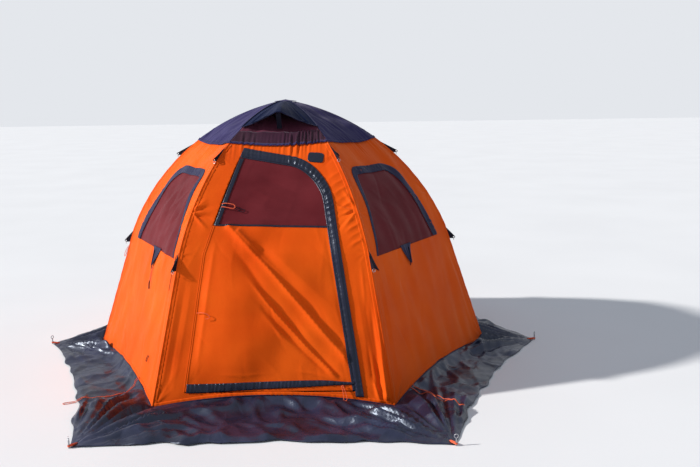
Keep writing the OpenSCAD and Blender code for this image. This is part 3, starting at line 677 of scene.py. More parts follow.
def facets(tree, scale, warp):
    """A crumpled field of flat facets with sharp creases between them."""
    start = place(tree)
    bend = node(tree, "TexNoise", {"Scale": scale * 0.6, "Vector": start}).outputs["Color"]
    bent = node(tree, "VectorMath", {0: bend, 1: (warp, warp, warp), 2: start}, operation="MULTIPLY_ADD")
    cells = node(tree, "TexVoronoi", {"Scale": scale, "Vector": bent.outputs["Vector"]},
                 feature="DISTANCE_TO_EDGE")
    return cells.outputs["Distance"]


def new_material(name):
    material = bpy.data.materials.new(name)
    material.use_nodes = True
    tree = material.node_tree
    return material, tree, tree.nodes["Principled BSDF"]


def dress(tree, shader, colour, worn, share, least, layers, values):
    """Gives a shader its colour, roughness, bump layers and plain values.

    The roughness is least plus a share of the worn pattern. Each layer is a height with its distance and
    strength.
    """
    normal = None
    for height, distance, strength in layers:
        inputs = {"Distance": distance, "Strength": strength, "Height": height}
        if normal is not None:
            inputs["Normal"] = normal
        normal = node(tree, "Bump", inputs).outputs["Normal"]
    rough = arithmetic(tree, "ADD", arithmetic(tree, "MULTIPLY", worn, share), least)
    fill(tree, shader, {"Base Color": colour, "Roughness": rough, "Normal": normal, **values})


def cloth_material(name, dark, light, roughness, wrinkle=0.5, pitch=THREAD, sheen=0.2, specular=0.4,
                   wrinkle_size=30, weave_depth=0.25, sheen_tint=WHITE, gloss_tint=WHITE):
    """Coated cloth: slow change of colour, fine wrinkles and the weave."""
    material, tree, shader = new_material(name)
    dress(tree, shader, between_colours(tree, noise(tree, 3.0, 4, 0.55), 0.32, dark, 0.68, light),
          noise(tree, 14, 5, 0.6), 0.16, roughness - 0.08,
          [(noise(tree, 9, 3), 0.006, wrinkle * 0.6), (noise(tree, wrinkle_size, 6, 0.55), 0.0022, wrinkle),
           (weave(tree, pitch), 0.00016, weave_depth)],
          {"Sheen Weight": sheen, "Sheen Roughness": 0.4, "Sheen Tint": sheen_tint,
           "Specular Tint": gloss_tint, "Specular IOR Level": specular})
    return material


def hard_material(name, colour, roughness, metallic=0.0, stretch=(1, 1, 1)):
    """Moulded, drawn or plated surface: faint change of colour and a fine grain."""
    material, tree, shader = new_material(name)
    shade = tuple(c * 0.72 for c in colour[:3]) + (1,)
    dress(tree, shader, between_colours(tree, noise(tree, 18, 4), 0.3, shade, 0.7, colour),
          noise(tree, 40, 5, 0.6, stretch), 0.2, roughness - 0.1,
          [(noise(tree, 60, 4, 0.6, stretch), 0.0003, 0.5)], {"Metallic": metallic})
    return material


def window_material(name, dark, light, alpha):
    """Window sheet, slightly see-through, with a soft gloss and shallow waves; its maroon colour is partly the
    sheet's own dark tint and partly painted light, the orange-lit inside seen through it.
    """
    material, tree, shader = new_material(name)
    slow = noise(tree, 2.2, 4, 0.6, (1, 1, 2.2))
    dress(tree, shader, between_colours(tree, slow, 0.3, dark, 0.7, light),
          noise(tree, 5, 5, 0.6, (1, 1, 3)), 0.2, 0.30,
          [(noise(tree, 7, 4, 0.5, (1, 1, 1.6)), 0.001, 0.5), (weave(tree), 0.00012, 0.2)],
          {"Alpha": alpha, "Specular IOR Level": 0.03, "Sheen Weight": 0.02,
           "Sheen Tint": (1, 0.75, 0.75, 1)})
    return material


def skirt_material(name, dark, light):
    """Glossy coated skirt cloth, crumpled all over, with creases that catch the light."""
    material, tree, shader = new_material(name)
    creases = noise(tree, 6, 3, 0.5, kind="RIDGED_MULTIFRACTAL")
    dress(tree, shader, between_colours(tree, noise(tree, 4, 7, 0.7), 0.36, dark, 0.70, light),
          noise(tree, 12, 5), 0.20, 0.24,
          [(facets(tree, 4, 0.20), 0.080, 0.45), (facets(tree, 11, 0.08), 0.012, 0.35), (creases, 0.005, 0.4),
           (noise(tree, 60, 5, 0.6), 0.0008, 0.3), (weave(tree), 0.00014, 0.2)],
          {"Specular IOR Level": 0.5, "Specular Tint": BLUE_GLOSS})
    return material


def braid_material(name, dark, light, sheen, specular):
    """Braided cord or woven webbing: light and dark threads in turn."""
    material, tree, shader = new_material(name)
    threads = weave(tree, 0.0016)
    share = arithmetic(tree, "MULTIPLY", threads, 0.33)
    dress(tree, shader, between_colours(tree, share, 0.25, dark, 0.75, light), noise(tree, 60, 4), 0.2, 0.55,
          [(threads, 0.0005, 0.6), (noise(tree, 400, 3), 0.0002, 0.4)],
          {"Sheen Weight": sheen, "Specular IOR Level": specular})
    return material


HOOD_CLOTH = cloth_material("hood_cloth", srgb(14, 20, 44), srgb(24, 32, 62), 0.55, sheen=0.0, specular=0.03,
                            gloss_tint=BLUE_GLOSS)
# Cap strip below the vent: the cap cloth made darker and wine-tinted, as painted shade under the hood with painted
# orange light glowing through
STRIP_PAINTED_SHADE_CLOTH = cloth_material("cap_strip_painted_shade_cloth", srgb(46, 20, 32), srgb(64, 34, 54), 0.42, wrinkle=0.4,
                             sheen=0.15, specular=0.08, sheen_tint=(0.9, 0.8, 1.0, 1))
MATERIALS = {
    "wall_cloth": cloth_material("orange_cloth", srgb(216, 76, 10), srgb(228, 90, 16), 0.6, wrinkle=0.35,
                                 sheen=0.35, specular=0.04, sheen_tint=(1.0, 0.60, 0.30, 1)),
    "cap_cloth": cloth_material("cap_cloth", srgb(46, 42, 78), srgb(60, 56, 96), 0.60, wrinkle=0.4,
                                sheen=0.08, specular=0.02, sheen_tint=(0.95, 0.90, 1.0, 1)),
    "skirt_cloth": skirt_material("skirt_cloth", srgb(14, 16, 34), srgb(42, 44, 70)),
    "dark_band": cloth_material("dark_band_cloth", srgb(11, 12, 27), srgb(22, 23, 44), 0.32, wrinkle=0.8,
                                sheen=0.0, wrinkle_size=60, gloss_tint=BLUE_GLOSS),
    "tape_cloth": cloth_material("tape_cloth", srgb(36, 36, 60), srgb(54, 54, 80), 0.5, sheen=0.10,
                                 wrinkle_size=60, specular=0.03),
    # Window colour: partly the sheet's own dark tint, partly painted orange light of the inside seen through it
    "window_sheet": window_material("window_sheet", srgb(90, 28, 34), srgb(106, 40, 46), 0.97),
    # Vent net: a dark mesh whose wine colour is painted orange light from inside the tent glowing through it
    "vent_net": cloth_material("vent_net", srgb(78, 32, 50), srgb(98, 46, 66), 0.7, wrinkle=0.3,
                               pitch=0.0022, weave_depth=0.8, sheen=0.05, specular=0.1),
    "webbing": braid_material("black_webbing", srgb(12, 13, 24), srgb(26, 27, 42), 0.0, 0.1),
    "orange_cord": braid_material("orange_cord", srgb(205, 62, 18), srgb(248, 106, 50), 0.3, 0.3),
    "rib_rod": hard_material("rib_rod", srgb(48, 48, 52), 0.35),
    "leg_tube": hard_material("leg_tube", srgb(150, 151, 156), 0.35, metallic=0.9, stretch=(1, 1, 0.1)),
    "socket_plastic": hard_material("socket_plastic", srgb(38, 38, 42), 0.5),
    "foot_rubber": hard_material("foot_rubber", srgb(26, 26, 28), 0.8),
    "peg_steel": hard_material("peg_steel", srgb(176, 178, 184), 0.3, metallic=1.0)}


# Making pieces

def mesh_object(name, points, faces, slot, material=None):
    mesh = bpy.data.meshes.new(name)
    mesh.from_pydata([tuple(p) for p in points], [], [tuple(int(i) for i in f) for f in faces])
    mesh.validate()
    mesh.shade_smooth()
    piece = add_object(name, mesh)
    mesh.materials.append(material or MATERIALS[slot])
    return piece


def thicken(piece, thickness, offset=-1.0):
    solid = piece.modifiers.new("thickness", "SOLIDIFY")
    solid.thickness = thickness
    solid.offset = offset
    solid.use_even_offset = False
    return piece


# Pieces of the door are baked in place; a direction into the door beside its seam is worked out but not used
HINGE = frame["joints"][0]
HINGE_AXIS = Vector(HINGE["axis"]).normalized()
BEND_TILT = math.radians(31)


def bend_with_door(piece):
    into = Vector((math.cos(BEND_TILT), -math.sin(BEND_TILT), 0))
    into = (into - into.dot(HINGE_AXIS) * HINGE_AXIS).normalized()
    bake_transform(piece)


def attach(piece, body, replaced=()):
    if body == "door":
        bend_with_door(piece)
    else:
        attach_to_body(piece, body)
    if replaced:
        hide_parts(*replaced)
    return piece


def side_sheet(name, side, outline, holes, lift, slot, body="tent", replaced=(), thickness=CLOTH,
               mirror=False, step=STEP, material=None):
    """A sheet of cloth in the flat plane of a wall. lift(u, s) is its height over the wall's form."""
    cut = filled(outline, holes, step)
    verts, faces = finer(*cut)
    if mirror:
        verts = verts * [-1, 1]
        faces = faces[:, ::-1]
    u, s = verts[:, 0], verts[:, 1]
    piece = mesh_object(name, on_side(side, u, s, lift(u, s)), faces, slot, material)
    thicken(piece, thickness)
    return attach(piece, body, replaced)


def grid_faces(rows, columns, closed=False, start=0):
    """Quads of a grid of points listed row by row, where a closed grid's last column meets its first."""
    made = []
    for i in range(rows - 1):
        for j in range(columns if closed else columns - 1):
            a, b = i * columns + j, i * columns + (j + 1) % columns
            face = (a, a + columns, b + columns, b)
            made.append(face[start:] + face[:start])
    return made


def band(side, first, second, lift, step=0.006, columns=6, mirror=False):
    """Points and faces of a strip of cloth between two lines, the first one on its outer side.

    lift(u, s, along, across) is its height over the wall's form.
    """
    points, along, across = ladder(first, second, step, columns)
    u, z = points[..., 0].ravel(), points[..., 1].ravel()
    faces = grid_faces(len(points), columns)
    if mirror:
        u = -u
        faces = [f[::-1] for f in faces]
    s = length_at(z)
    return on_side(side, u, s, lift(u, s, along.ravel(), across.ravel())), faces


def strips(name, parts, slot, body="tent", replaced=(), thickness=TRIM_CLOTH):
    """One piece made of several bands or tubes. Tubes have a thickness of 0."""
    piece = mesh_object(name, *joined(parts), slot)
    if thickness:
        thicken(piece, thickness)
    return attach(piece, body, replaced)


def joined(parts):
    """Several lists of points and faces as one."""
    points, faces, base = [], [], 0
    for p, f in parts:
        points.append(np.asarray(p, float))
        faces += [tuple(int(i) + base for i in face) for face in f]
        base += len(p)
    return np.vstack(points), faces


def is_mirrored(side):
    return side in (LEFT_FRONT, RIGHT_BACK)


WINDOW_SIDES = (RIGHT_FRONT, RIGHT_BACK, BACK, LEFT_BACK, LEFT_FRONT)


def is_seen(side):
    return side in (FRONT, RIGHT_FRONT, LEFT_FRONT)


def make_walls():
    hem_to_top = whole_wall()
    window = flat_from_heights(opening_outline(0))
    for side in WINDOW_SIDES:
        name = "wall_" + SIDE_NAMES[side]
        side_sheet(name + "_cloth", side, hem_to_top, [window], lambda u, s, k=side: wall_lift(k, u, s),
                   "wall_cloth", replaced=[name], mirror=is_mirrored(side),
                   step=0.0155 if is_seen(side) else 0.026)


def pane_folds(side):
    """Folds of a window sheet: slack that runs down from its tight upper corner."""
    turn = -1 if is_mirrored(side) else 1
    lines = [([(-0.23, 1.06), (-0.10, 0.95), (0.06, 0.86)], (0.014, 0.020), 0.0042),
             ([(-0.27, 0.96), (-0.18, 0.86), (-0.04, 0.78)], (0.012, 0.018), -0.0036),
             ([(-0.05, 1.07), (0.05, 0.93), (0.12, 0.76)], (0.018, 0.026), 0.0036),
             ([(0.05, 1.02), (0.13, 0.90), (0.20, 0.76)], (0.012, 0.018), -0.0030),
             ([(-0.20, 0.80), (-0.06, 0.76), (0.10, 0.75)], (0.014, 0.020), 0.0034)]
    share = 1 if side == LEFT_FRONT else 0.4
    return [Fold([(turn * u, z) for u, z in line], width, share * height, (0.3, 0.4))
            for line, width, height in lines]


def make_windows():
    sheet_edge = flat_from_heights(opening_outline(0.005))
    outer = rounded(WINDOW_CORNERS, WINDOW_RADII)
    inner = rounded(OPENING_CORNERS, OPENING_RADII)
    outer, inner = (np.array([*line[1:], line[0]]) for line in (outer, inner))
    inner = inner + 0.003 * (inner - outer) / np.maximum(np.linalg.norm(inner - outer, axis=1), 1e-6)[:, None]
    tapes, tabs = [], []
    for side in WINDOW_SIDES:
        folds = pane_folds(side)
        name = "window_" + SIDE_NAMES[side]
        side_sheet(name + "_sheet", side, sheet_edge, [],
                   lambda u, s, k=side, f=folds: wall_lift(k, u, s) - 0.0016 + total(f, u, height_at(s)),
                   "window_sheet", replaced=[name], mirror=is_mirrored(side), thickness=SHEET,
                   step=0.017 if is_seen(side) else 0.024)
        pucker, share = Waves(60 + side, 0.015, 0.034, 0, 180, 14), Waves(70 + side, 0.10, 0.30, 0, 180, 8)

        def tape_lift(u, s, along, across, k=side, pucker=pucker, share=share):
            rim = 0.0008 * smooth(0.72, 1.0, np.abs(2 * across - 1))
            return wall_lift(k, u, s) + 0.0022 + rim + 0.0011 * pucker(u, s) * np.clip(share(u, s), 0.1, 1.2)

        tapes.append(band(side, outer, inner, tape_lift, 0.007, 7, is_mirrored(side)))
        tabs.append(tab_under_window(side))
    strips("window_tapes_cloth", tapes, "tape_cloth", replaced=["window_tapes"])
    strips("window_tabs_cloth", tabs, "tape_cloth", replaced=["window_tabs"])


TAB_WIDTH = 0.136
TAB_DEPTH = 0.092
TAB_SHIFT = 0.078
TAB_END = 0.008


def tab_under_window(side):
    """Three-cornered tab sewn under a window, with the pulled creases that run down to its point."""
    top = WINDOW_LOW + 0.010
    first = np.array([(-TAB_SHIFT - TAB_WIDTH / 2, top), (-TAB_SHIFT - TAB_END, WINDOW_LOW - TAB_DEPTH)])
    second = np.array([(-TAB_SHIFT + TAB_WIDTH / 2, top), (-TAB_SHIFT + TAB_END, WINDOW_LOW - TAB_DEPTH)])

    def tab_lift(u, s, along, across):
        pulled = 0.0016 * np.cos(across * 2 * math.pi * 3.5) * smooth(0, 0.03, along)
        return wall_lift(side, u, s) + 0.0034 + 0.007 * smooth(0.02, 0.11, along) + pulled

    return band(side, first, second, tab_lift, 0.005, 22, is_mirrored(side))


def make_front():
    hem_to_top = whole_wall()
    doorway = flat_from_heights(door_outline([0, 0, 0, 0, 0]))
    side_sheet("front_cloth", FRONT, hem_to_top, [doorway], lambda u, s: wall_lift(FRONT, u, s), "wall_cloth",
               replaced=["front_jamb_left", "front_jamb_right", "front_header", "front_sill"])


HEM_WIDTH = 0.016
SEAM_WIDTH = 0.020


def make_hems():
    """Turned-up hems of the walls, and the sewn strips along both sides of each ridge."""
    parts = []
    u = np.linspace(-1, 1, 90) * half_wall(HEM_FOOT)
    low = pairs(u, hem_at(u))
    for side in range(6):
        pucker = Waves(75 + side, 0.014, 0.034, 0, 10, 10)

        def hem_lift(u, s, along, across, k=side, pucker=pucker):
            return wall_lift(k, u, s) + 0.0013 + 0.0007 * pucker(u, s)

        parts.append(band(side, low + [0, -0.001], low + [0, HEM_WIDTH], hem_lift, 0.008, 4))
        z = np.concatenate([np.linspace(0.012, ELBOW_HEIGHT, 60), np.linspace(ELBOW_HEIGHT, 1.262, 50)[1:]])
        for way in (-1, 1):
            edge = way * ridge(z) / 2
            inner = edge - way * SEAM_WIDTH
            far, near = pairs(edge, z), pairs(inner, z)
            if way < 0:
                far, near = far[::-1], near[::-1]

            def seam_lift(u, s, along, across, k=side, pucker=pucker):
                wave = 0.0009 * pucker(s, u) * smooth(0, 0.4, across)
                return wall_lift(k, u, s) + (0.0010 + 0.7 * wave) * smooth(0.0, 0.2, across)

            parts.append(band(side, far, near, seam_lift, 0.009, 5))
    strips("wall_seams", parts, "wall_cloth", thickness=THIN_CLOTH)


def make_patch():
    """The bare sewn patch on the front wall."""
    w, h = PATCH_WIDTH / 2, PATCH_HEIGHT / 2
    loop = np.array(rounded(corners((-w, -h), (w, -h), (w, h), (-w, h)), [PATCH_ROUND] * 4))
    a = math.radians(-PATCH_TURN)
    turn = np.array([[math.cos(a), math.sin(a)], [-math.sin(a), math.cos(a)]])
    loop = loop @ turn + [PATCH_SHIFT, PATCH_HIGH]

    def patch_lift(u, s):
        lift = wall_lift(FRONT, u, s)
        return lift * 0.6 + lift.mean() * 0.4 + 0.0035

    side_sheet("header_patch_cloth", FRONT, flat_from_heights(loop), [], patch_lift, "dark_band",
               replaced=["header_patch"], step=0.006, thickness=0.0020)


LEAF_EDGE = [-0.004, -0.002, -0.002, -0.0004, -0.0004]


def leaf_outline(change=(0, 0, 0, 0, 0)):
    return np.array(door_outline([a + b for a, b in zip(LEAF_EDGE, change)]))


def split_by(outline, line, keep_above):
    """The part of an outline of heights above or below a line that crosses it twice."""
    over = outline[:, 1] - line(outline[:, 0])
    made = []
    for i in range(len(outline)):
        j = (i + 1) % len(outline)
        if (over[i] > 0) == keep_above:
            made.append(outline[i])
        if (over[i] > 0) != (over[j] > 0):
            t = over[i] / (over[i] - over[j])
            made.append(outline[i] + t * (outline[j] - outline[i]))
    return np.array(made)


def leaf_lift(u, s):
    return wall_lift(FRONT, u, s) + door_lift(u, s)


PUCKER = Waves(82, 0.013, 0.032, 0, 180, 20)
PUCKER_SHARE = Waves(83, 0.08, 0.25, 0, 180, 8)


def pucker_lift(u, s, height):
    return height * PUCKER(u, s) * np.clip(0.5 + PUCKER_SHARE(u, s), 0.1, 1.4)


def make_door():
    leaf = spaced_loop(leaf_outline(), 0.012)
    panel = split_by(leaf, door_window_line, False)
    side_sheet("door_cloth", FRONT, flat_from_heights(panel), [], leaf_lift, "wall_cloth", body="door",
               replaced=["door_panel"], step=0.0125)
    pane = split_by(leaf, lambda u: door_window_line(u) - 0.003, True)
    side_sheet("door_window_sheet", FRONT, flat_from_heights(pane), [], lambda u, s: leaf_lift(u, s) - 0.0012,
               "window_sheet", body="door", replaced=["door_window"], thickness=SHEET,
               step=1.5 * STEP)

    # Lower band, a little lower and narrower at its right end
    u = np.linspace(seam_at(DOOR_LOW) + 0.008, zip_at(DOOR_LOW) - 0.006, 60)
    t = (u - u[0]) / (u[-1] - u[0])
    top = 0.113 + 0.014 * smooth(0, 0.75, t) - 0.010 * smooth(0.80, 1, t)
    foot = 0.070 + 0.020 * smooth(0, 0.6, t) + 0.014 * smooth(0.5, 1, t)
    wrinkled = Waves(84, 0.012, 0.05, 0, 40, 16)

    def band_lift(u, s, along, across):
        return leaf_lift(u, s) + 0.0030 + 0.0013 * wrinkled(u, s * 0.6) + 0.0016 * np.sin(math.pi * across)

    low_band = band(FRONT, pairs(u, foot), pairs(u, top), band_lift, 0.005, 9)
    strips("door_band_cloth", [low_band], "dark_band", body="door", replaced=["door_band_low"])

    # Binding of the free edge, and of the two straight edges of the window
    free = rounded(moved(DOOR_CORNERS, LEAF_EDGE), [0, 0, DOOR_ROUND + LEAF_EDGE[1], 0, 0])[1:-1]
    inner = rounded(moved(DOOR_CORNERS, [LEAF_EDGE[0], -0.014, -0.010, LEAF_EDGE[3], LEAF_EDGE[4]]),
                    [0, 0, DOOR_ROUND - 0.014, 0, 0])[1:-1]

    def bind_lift(u, s, along, across):
        return leaf_lift(u, s) + 0.0022 + pucker_lift(u, s, 0.0005)

    z = np.linspace(1.196, float(door_window_line(seam_at(DOOR_WINDOW_LEFT))) - 0.004, 60)
    seam = pairs(seam_at(z) + 0.002, z)
    seam_inner = seam + [0.022, 0]
    u = np.linspace(float(seam_at(DOOR_WINDOW_LEFT)) + 0.004, float(zip_at(DOOR_WINDOW_RIGHT)) - 0.004, 60)
    line = pairs(u, door_window_line(u))
    parts = [band(FRONT, free, inner, bind_lift, 0.006, 4),
             band(FRONT, seam, seam_inner, bind_lift, 0.006, 5),
             band(FRONT, line + [0, -0.0045], line + [0, 0.0035], bind_lift, 0.006, 3)]
    strips("door_bindings", parts, "dark_band", body="door")

    # Sewn strip over the seam, below the window
    z = np.linspace(float(door_window_line(seam_at(DOOR_WINDOW_LEFT))) - 0.004, DOOR_LOW + 0.004, 90)
    seam = pairs(seam_at(z), z)

    def sewn_lift(u, s, along, across):
        groove = 0.0013 * np.exp(-((across - 0.55) / 0.13) ** 2)
        return leaf_lift(u, s) + 0.0016 - groove + 0.0003 * np.sin(along * 2 * math.pi / 0.013)

    strips("door_seam_tape", [band(FRONT, seam - [0.007, 0], seam + [0.006, 0], sewn_lift, 0.005, 9)],
           "wall_cloth", body="door", thickness=THIN_CLOTH)


def make_flap():
    """The puckered flap over the zip, which goes round the top and right of the doorway."""
    outer = rounded(moved(DOOR_CORNERS, [FLAP_FOOT, FLAP_WIDTH, FLAP_WIDTH + 0.001, 0, 0]),
                    [0, 0, DOOR_ROUND + FLAP_WIDTH, 0, 0])[1:-1]
    inner = rounded(moved(DOOR_CORNERS, [FLAP_FOOT, -0.003, -0.003, 0, 0]),
                    [0, 0, DOOR_ROUND - 0.003, 0, 0])[1:-1]
    outer, inner = np.array(outer), np.array(inner)
    cross = np.random.default_rng(91)
    phase = cross.uniform(0, 2 * math.pi, 3)

    def flap_lift(u, s, along, across):
        z = height_at(s)
        curve = smooth(-0.02, 0.12, u) * smooth(0.78, 0.95, z)
        right_leg = 1 - smooth(0.55, 0.85, z)
        wave = sum(np.sin(along * 2 * math.pi / pitch + 2.2 * np.sin(along * 23 + p) + 1.5 * (across - 0.5)
                          + p) for pitch, p in zip((0.019, 0.026, 0.038), phase)) / 1.8
        tube = 0.0030 * np.sin(math.pi * np.clip(across * 1.25, 0, 1)) ** 0.8
        lengthwise = 0.0024 * np.cos(across * 2 * math.pi * 1.5) * (0.4 + 0.6 * right_leg)
        rib = 0.0042 * np.exp(-((across - 0.42) / 0.11) ** 2)
        rib = rib * (1 - smooth(0.70, 0.92, z)) * smooth(0.12, 0.35, z)
        return (wall_lift(FRONT, u, s) + 0.0042 + tube + lengthwise + rib
                + wave * (0.0003 + 0.0034 * curve * np.sin(math.pi * np.clip(across, 0.06, 0.94))))

    piece = band(FRONT, outer, inner, flap_lift, 0.004, 20)
    strips("doorway_flap_cloth", [piece], "dark_band", replaced=["doorway_flap"], thickness=0.002)


# Cap

def cap_hem(u):
    t = np.asarray(u) / half_wall(CAP_LOW)
    return CAP_LOW - CAP_DROOP * np.maximum(1 - t * t, 0)


CAP_FOLDS = [Waves(100 + k, 0.035, 0.10, 0, 22, 14) for k in range(6)]
CAP_SOFT = [Waves(110 + k, 0.12, 0.34) for k in range(6)]
CAP_OUT = 0.0052


def cap_lift(side, u, s):
    """Height of the cap over the flat form: it follows the wall under it, then hangs between the ribs."""
    z, half = height_at(s), half_at(s)
    t = u / half
    over_wall = 1 - smooth(WALL_TOP - 0.005, WALL_TOP + 0.05, z)
    free = smooth(0, 0.2, 1 - np.abs(t)) * smooth(0, 0.10, TOP - s)
    hang = -0.012 * (1 - t * t) * smooth(0.03, 0.22, TOP - s)
    wave = (0.0016 * CAP_FOLDS[side](u, s * 0.25) + 0.0024 * CAP_SOFT[side](u, s)) * free
    wall = wall_lift(side, u, np.minimum(s, length_at(WALL_TOP)))
    low = 1 - smooth(CAP_LOW - 0.01, CAP_LOW + 0.045, z)
    flutter = 0.0020 * np.abs(CAP_FOLDS[side](u, s * 0.2)) * low * free
    return CAP_OUT + np.maximum(wall, -0.011) * over_wall + (hang + wave) * (1 - over_wall) + flutter


def make_cap():
    foot = length_at(cap_hem(np.linspace(-1, 1, 50) * half_wall(CAP_LOW)))
    whole = panel(foot, half_at, TOP - 0.002, 60)
    for side in WINDOW_SIDES:
        name = "cap_" + SIDE_NAMES[side]
        side_sheet(name + "_cloth", side, whole, [], lambda u, s, k=side: cap_lift(k, u, s), "cap_cloth",
                   replaced=[name], step=STEP if is_seen(side) else 1.5 * STEP)
    strip = panel(foot, half_at, length_at(VENT_LOW), 60)
    pleats = Waves(125, 0.016, 0.030, 0, 14, 10)

    def strip_lift(u, s):
        drawn = smooth(-0.02, 0.14, u) * (1 - smooth(0.24, 0.29, u))
        return cap_lift(FRONT, u, s) + 0.0034 * pleats(u, s * 0.3) * drawn

    # The strip's darker wine colour is painted shade under the hood, with painted orange light from inside showing
    # through
    side_sheet("cap_front_strip_cloth", FRONT, strip, [], strip_lift, "cap_cloth",
               replaced=["cap_front_strip"], material=STRIP_PAINTED_SHADE_CLOTH)
    # Net under the hood, coloured wine as painted orange light glowing through from inside
    net = panel(np.full(50, length_at(VENT_LOW - 0.004)), half_at, TOP - 0.002, 60)
    side_sheet("vent_net_cloth", FRONT, net, [], lambda u, s: cap_lift(FRONT, u, s) - 0.0015, "vent_net",
               replaced=["vent_mesh"], step=1.5 * STEP)
    parts = []
    u = np.linspace(-1, 1, 80) * half_wall(CAP_LOW)
    low = pairs(u, cap_hem(u))
    for side in range(6):
        lift = strip_lift if side == FRONT else (lambda u, s, k=side: cap_lift(k, u, s))
        parts.append(band(side, low + [0, -0.001], low + [0, 0.010],
                          lambda u, s, along, across, f=lift: f(u, s) + 0.0010, 0.006, 3))
    strips("cap_hem", parts, "cap_cloth", thickness=THIN_CLOTH)


# Hood over the vent

HOOD_FLAT = HOOD_STAY / 2 / half_wall(HOOD_FOOT)


def hood_points(along, across, lift):
    """Points of the hood: along from the peak to its front edge, across from foot to foot."""
    foot_turn = math.asin((HOOD_FOOT - RIB_CENTRE[1]) / RIB_CURVE)
    turn = END_TURN + (foot_turn - END_TURN) * along
    radius = RIB_CENTRE[0] + (RIB_CURVE + lift) * np.cos(turn)
    height = RIB_CENTRE[1] + (RIB_CURVE + lift) * np.sin(turn)
    bow = along * np.minimum(1, (1 - np.abs(across)) / (1 - HOOD_FLAT)) ** HOOD_SAG
    ahead, up = HOOD_REACH * bow, HOOD_RISE * bow
    return np.stack([radius * across / 2, -radius * FLAT - ahead, height + up], axis=-1)


def make_hood():
    rows, columns = 60, 110
    along, across = np.meshgrid(np.linspace(0, 1, rows), np.linspace(-1, 1, columns), indexing="ij")
    folds = Waves(120, 0.10, 0.34, 90, 30)
    edge = smooth(0, 0.25, 1 - np.abs(across))
    spread = folds(across * 0.5, along * 0.15) * along * edge
    # Slack that runs from the stay's end to the two feet, and the turned hem
    creases = ((0.0050, 0.55, 0.12, 0.04), (-0.0046, 0.50, 0.26, 0.05), (0.0036, 0.30, 0.05, 0.03),
               (0.0036, 0.42, 0.40, 0.03))
    slack = sum(h * np.exp(-np.abs((np.abs(across) - c * along - d) / w) ** 1.4) for h, c, d, w in creases)
    hem = smooth(0.955, 0.970, along)
    lift = 0.0082 + 0.0030 * spread + slack * along * edge + 0.0012 * hem
    points = hood_points(along, across, lift).reshape(-1, 3)
    faces = grid_faces(rows, columns, start=1)
    piece = mesh_object("vent_hood_cloth", points, faces, "cap_cloth", HOOD_CLOTH)
    thicken(piece, 0.0015, 0)
    attach(piece, "tent", ["vent_hood"])
    # Tubes along the hood's two sides and its front hem, in the lighter tape cloth: their lighter colour is a
    # painted highlight along the edges
    parts = []
    t = np.linspace(0.01, 1, 60)
    for way in (-1, 1):
        parts.append(tube(hood_points(t, way + 0 * t, 0.0105 + 0 * t), 0.0030))
    a = np.linspace(-0.99, 0.99, 110)
    parts.append(tube(hood_points(0.994 + 0 * a, a, 0.0095 + 0 * a), 0.0022))
    strips("hood_trim_painted_highlight", parts, "tape_cloth", thickness=0)


# Ridge seams

def tube(points, radius, squash=1.0, sides=8):
    """Points and faces of a tube round a line."""
    p = np.array(points, float)
    way = np.gradient(p, axis=0)
    way = way / np.linalg.norm(way, axis=1)[:, None]
    up = np.array([0.0, 0.0, 1.0])
    right = np.cross(way, up)
    size = np.linalg.norm(right, axis=1)[:, None]
    right = np.where(size < 1e-4, np.array([1.0, 0, 0]), right / np.maximum(size, 1e-9))
    over = np.cross(right, way)
    radius = np.broadcast_to(radius, len(p))
    a = np.linspace(0, 2 * math.pi, sides, endpoint=False)
    ring = right[:, None] * np.cos(a)[None, :, None] + squash * over[:, None] * np.sin(a)[None, :, None]
    verts = (p[:, None] + radius[:, None, None] * ring).reshape(-1, 3)
    faces = grid_faces(len(p), sides, closed=True)
    faces.append(tuple(range(sides)))
    faces.append(tuple(range(len(p) * sides - 1, (len(p) - 1) * sides - 1, -1)))
    return verts, faces


def corner_point(k, z, out=0.0):
    """A point on a ridge, with corners numbered anticlockwise from +X."""
    a = math.radians(60 * k)
    r = ridge(z) + out
    return np.stack([r * math.cos(a), r * math.sin(a), np.asarray(z, float) + 0 * r], axis=-1)


def make_ridge_seams():
    parts = []
    z = np.concatenate([np.linspace(0.006, ELBOW_HEIGHT, 60), np.linspace(ELBOW_HEIGHT, 1.275, 50)[1:]])
    for k in range(6):
        r = np.random.default_rng(200 + k)
        wobble = 0.0012 * np.sin(z * 90 + r.uniform(0, 6)) + 0.001 * np.sin(z * 37 + r.uniform(0, 6))
        parts.append(tube(corner_point(k, z, 0.0002), 0.0034 + wobble * 0.4))
    strips("ridge_seams", parts, "wall_cloth", thickness=0)


# Skirt

SKIRT_TIP = 1.690
SKIRT_TIP_SIDE = 1.515
SKIRT_TIP_RADII = [SKIRT_TIP_SIDE, SKIRT_TIP, SKIRT_TIP, SKIRT_TIP_SIDE, SKIRT_TIP, SKIRT_TIP]
SKIRT_DROP = 0.160
SKIRT_ROWS = 40
SKIRT_COLUMNS = 110
SKIRT_HOLLOW = [0.030, 0.062, 0.040, 0.034, 0.040, 0.062]
SKIRT_SLACK = [1.0, 0.75, 0.6, 0.6, 0.6, 0.7]


def tip_of(k):
    a = math.radians(60 * k)
    return SKIRT_TIP_RADII[k % 6] * np.array([math.cos(a), math.sin(a)])


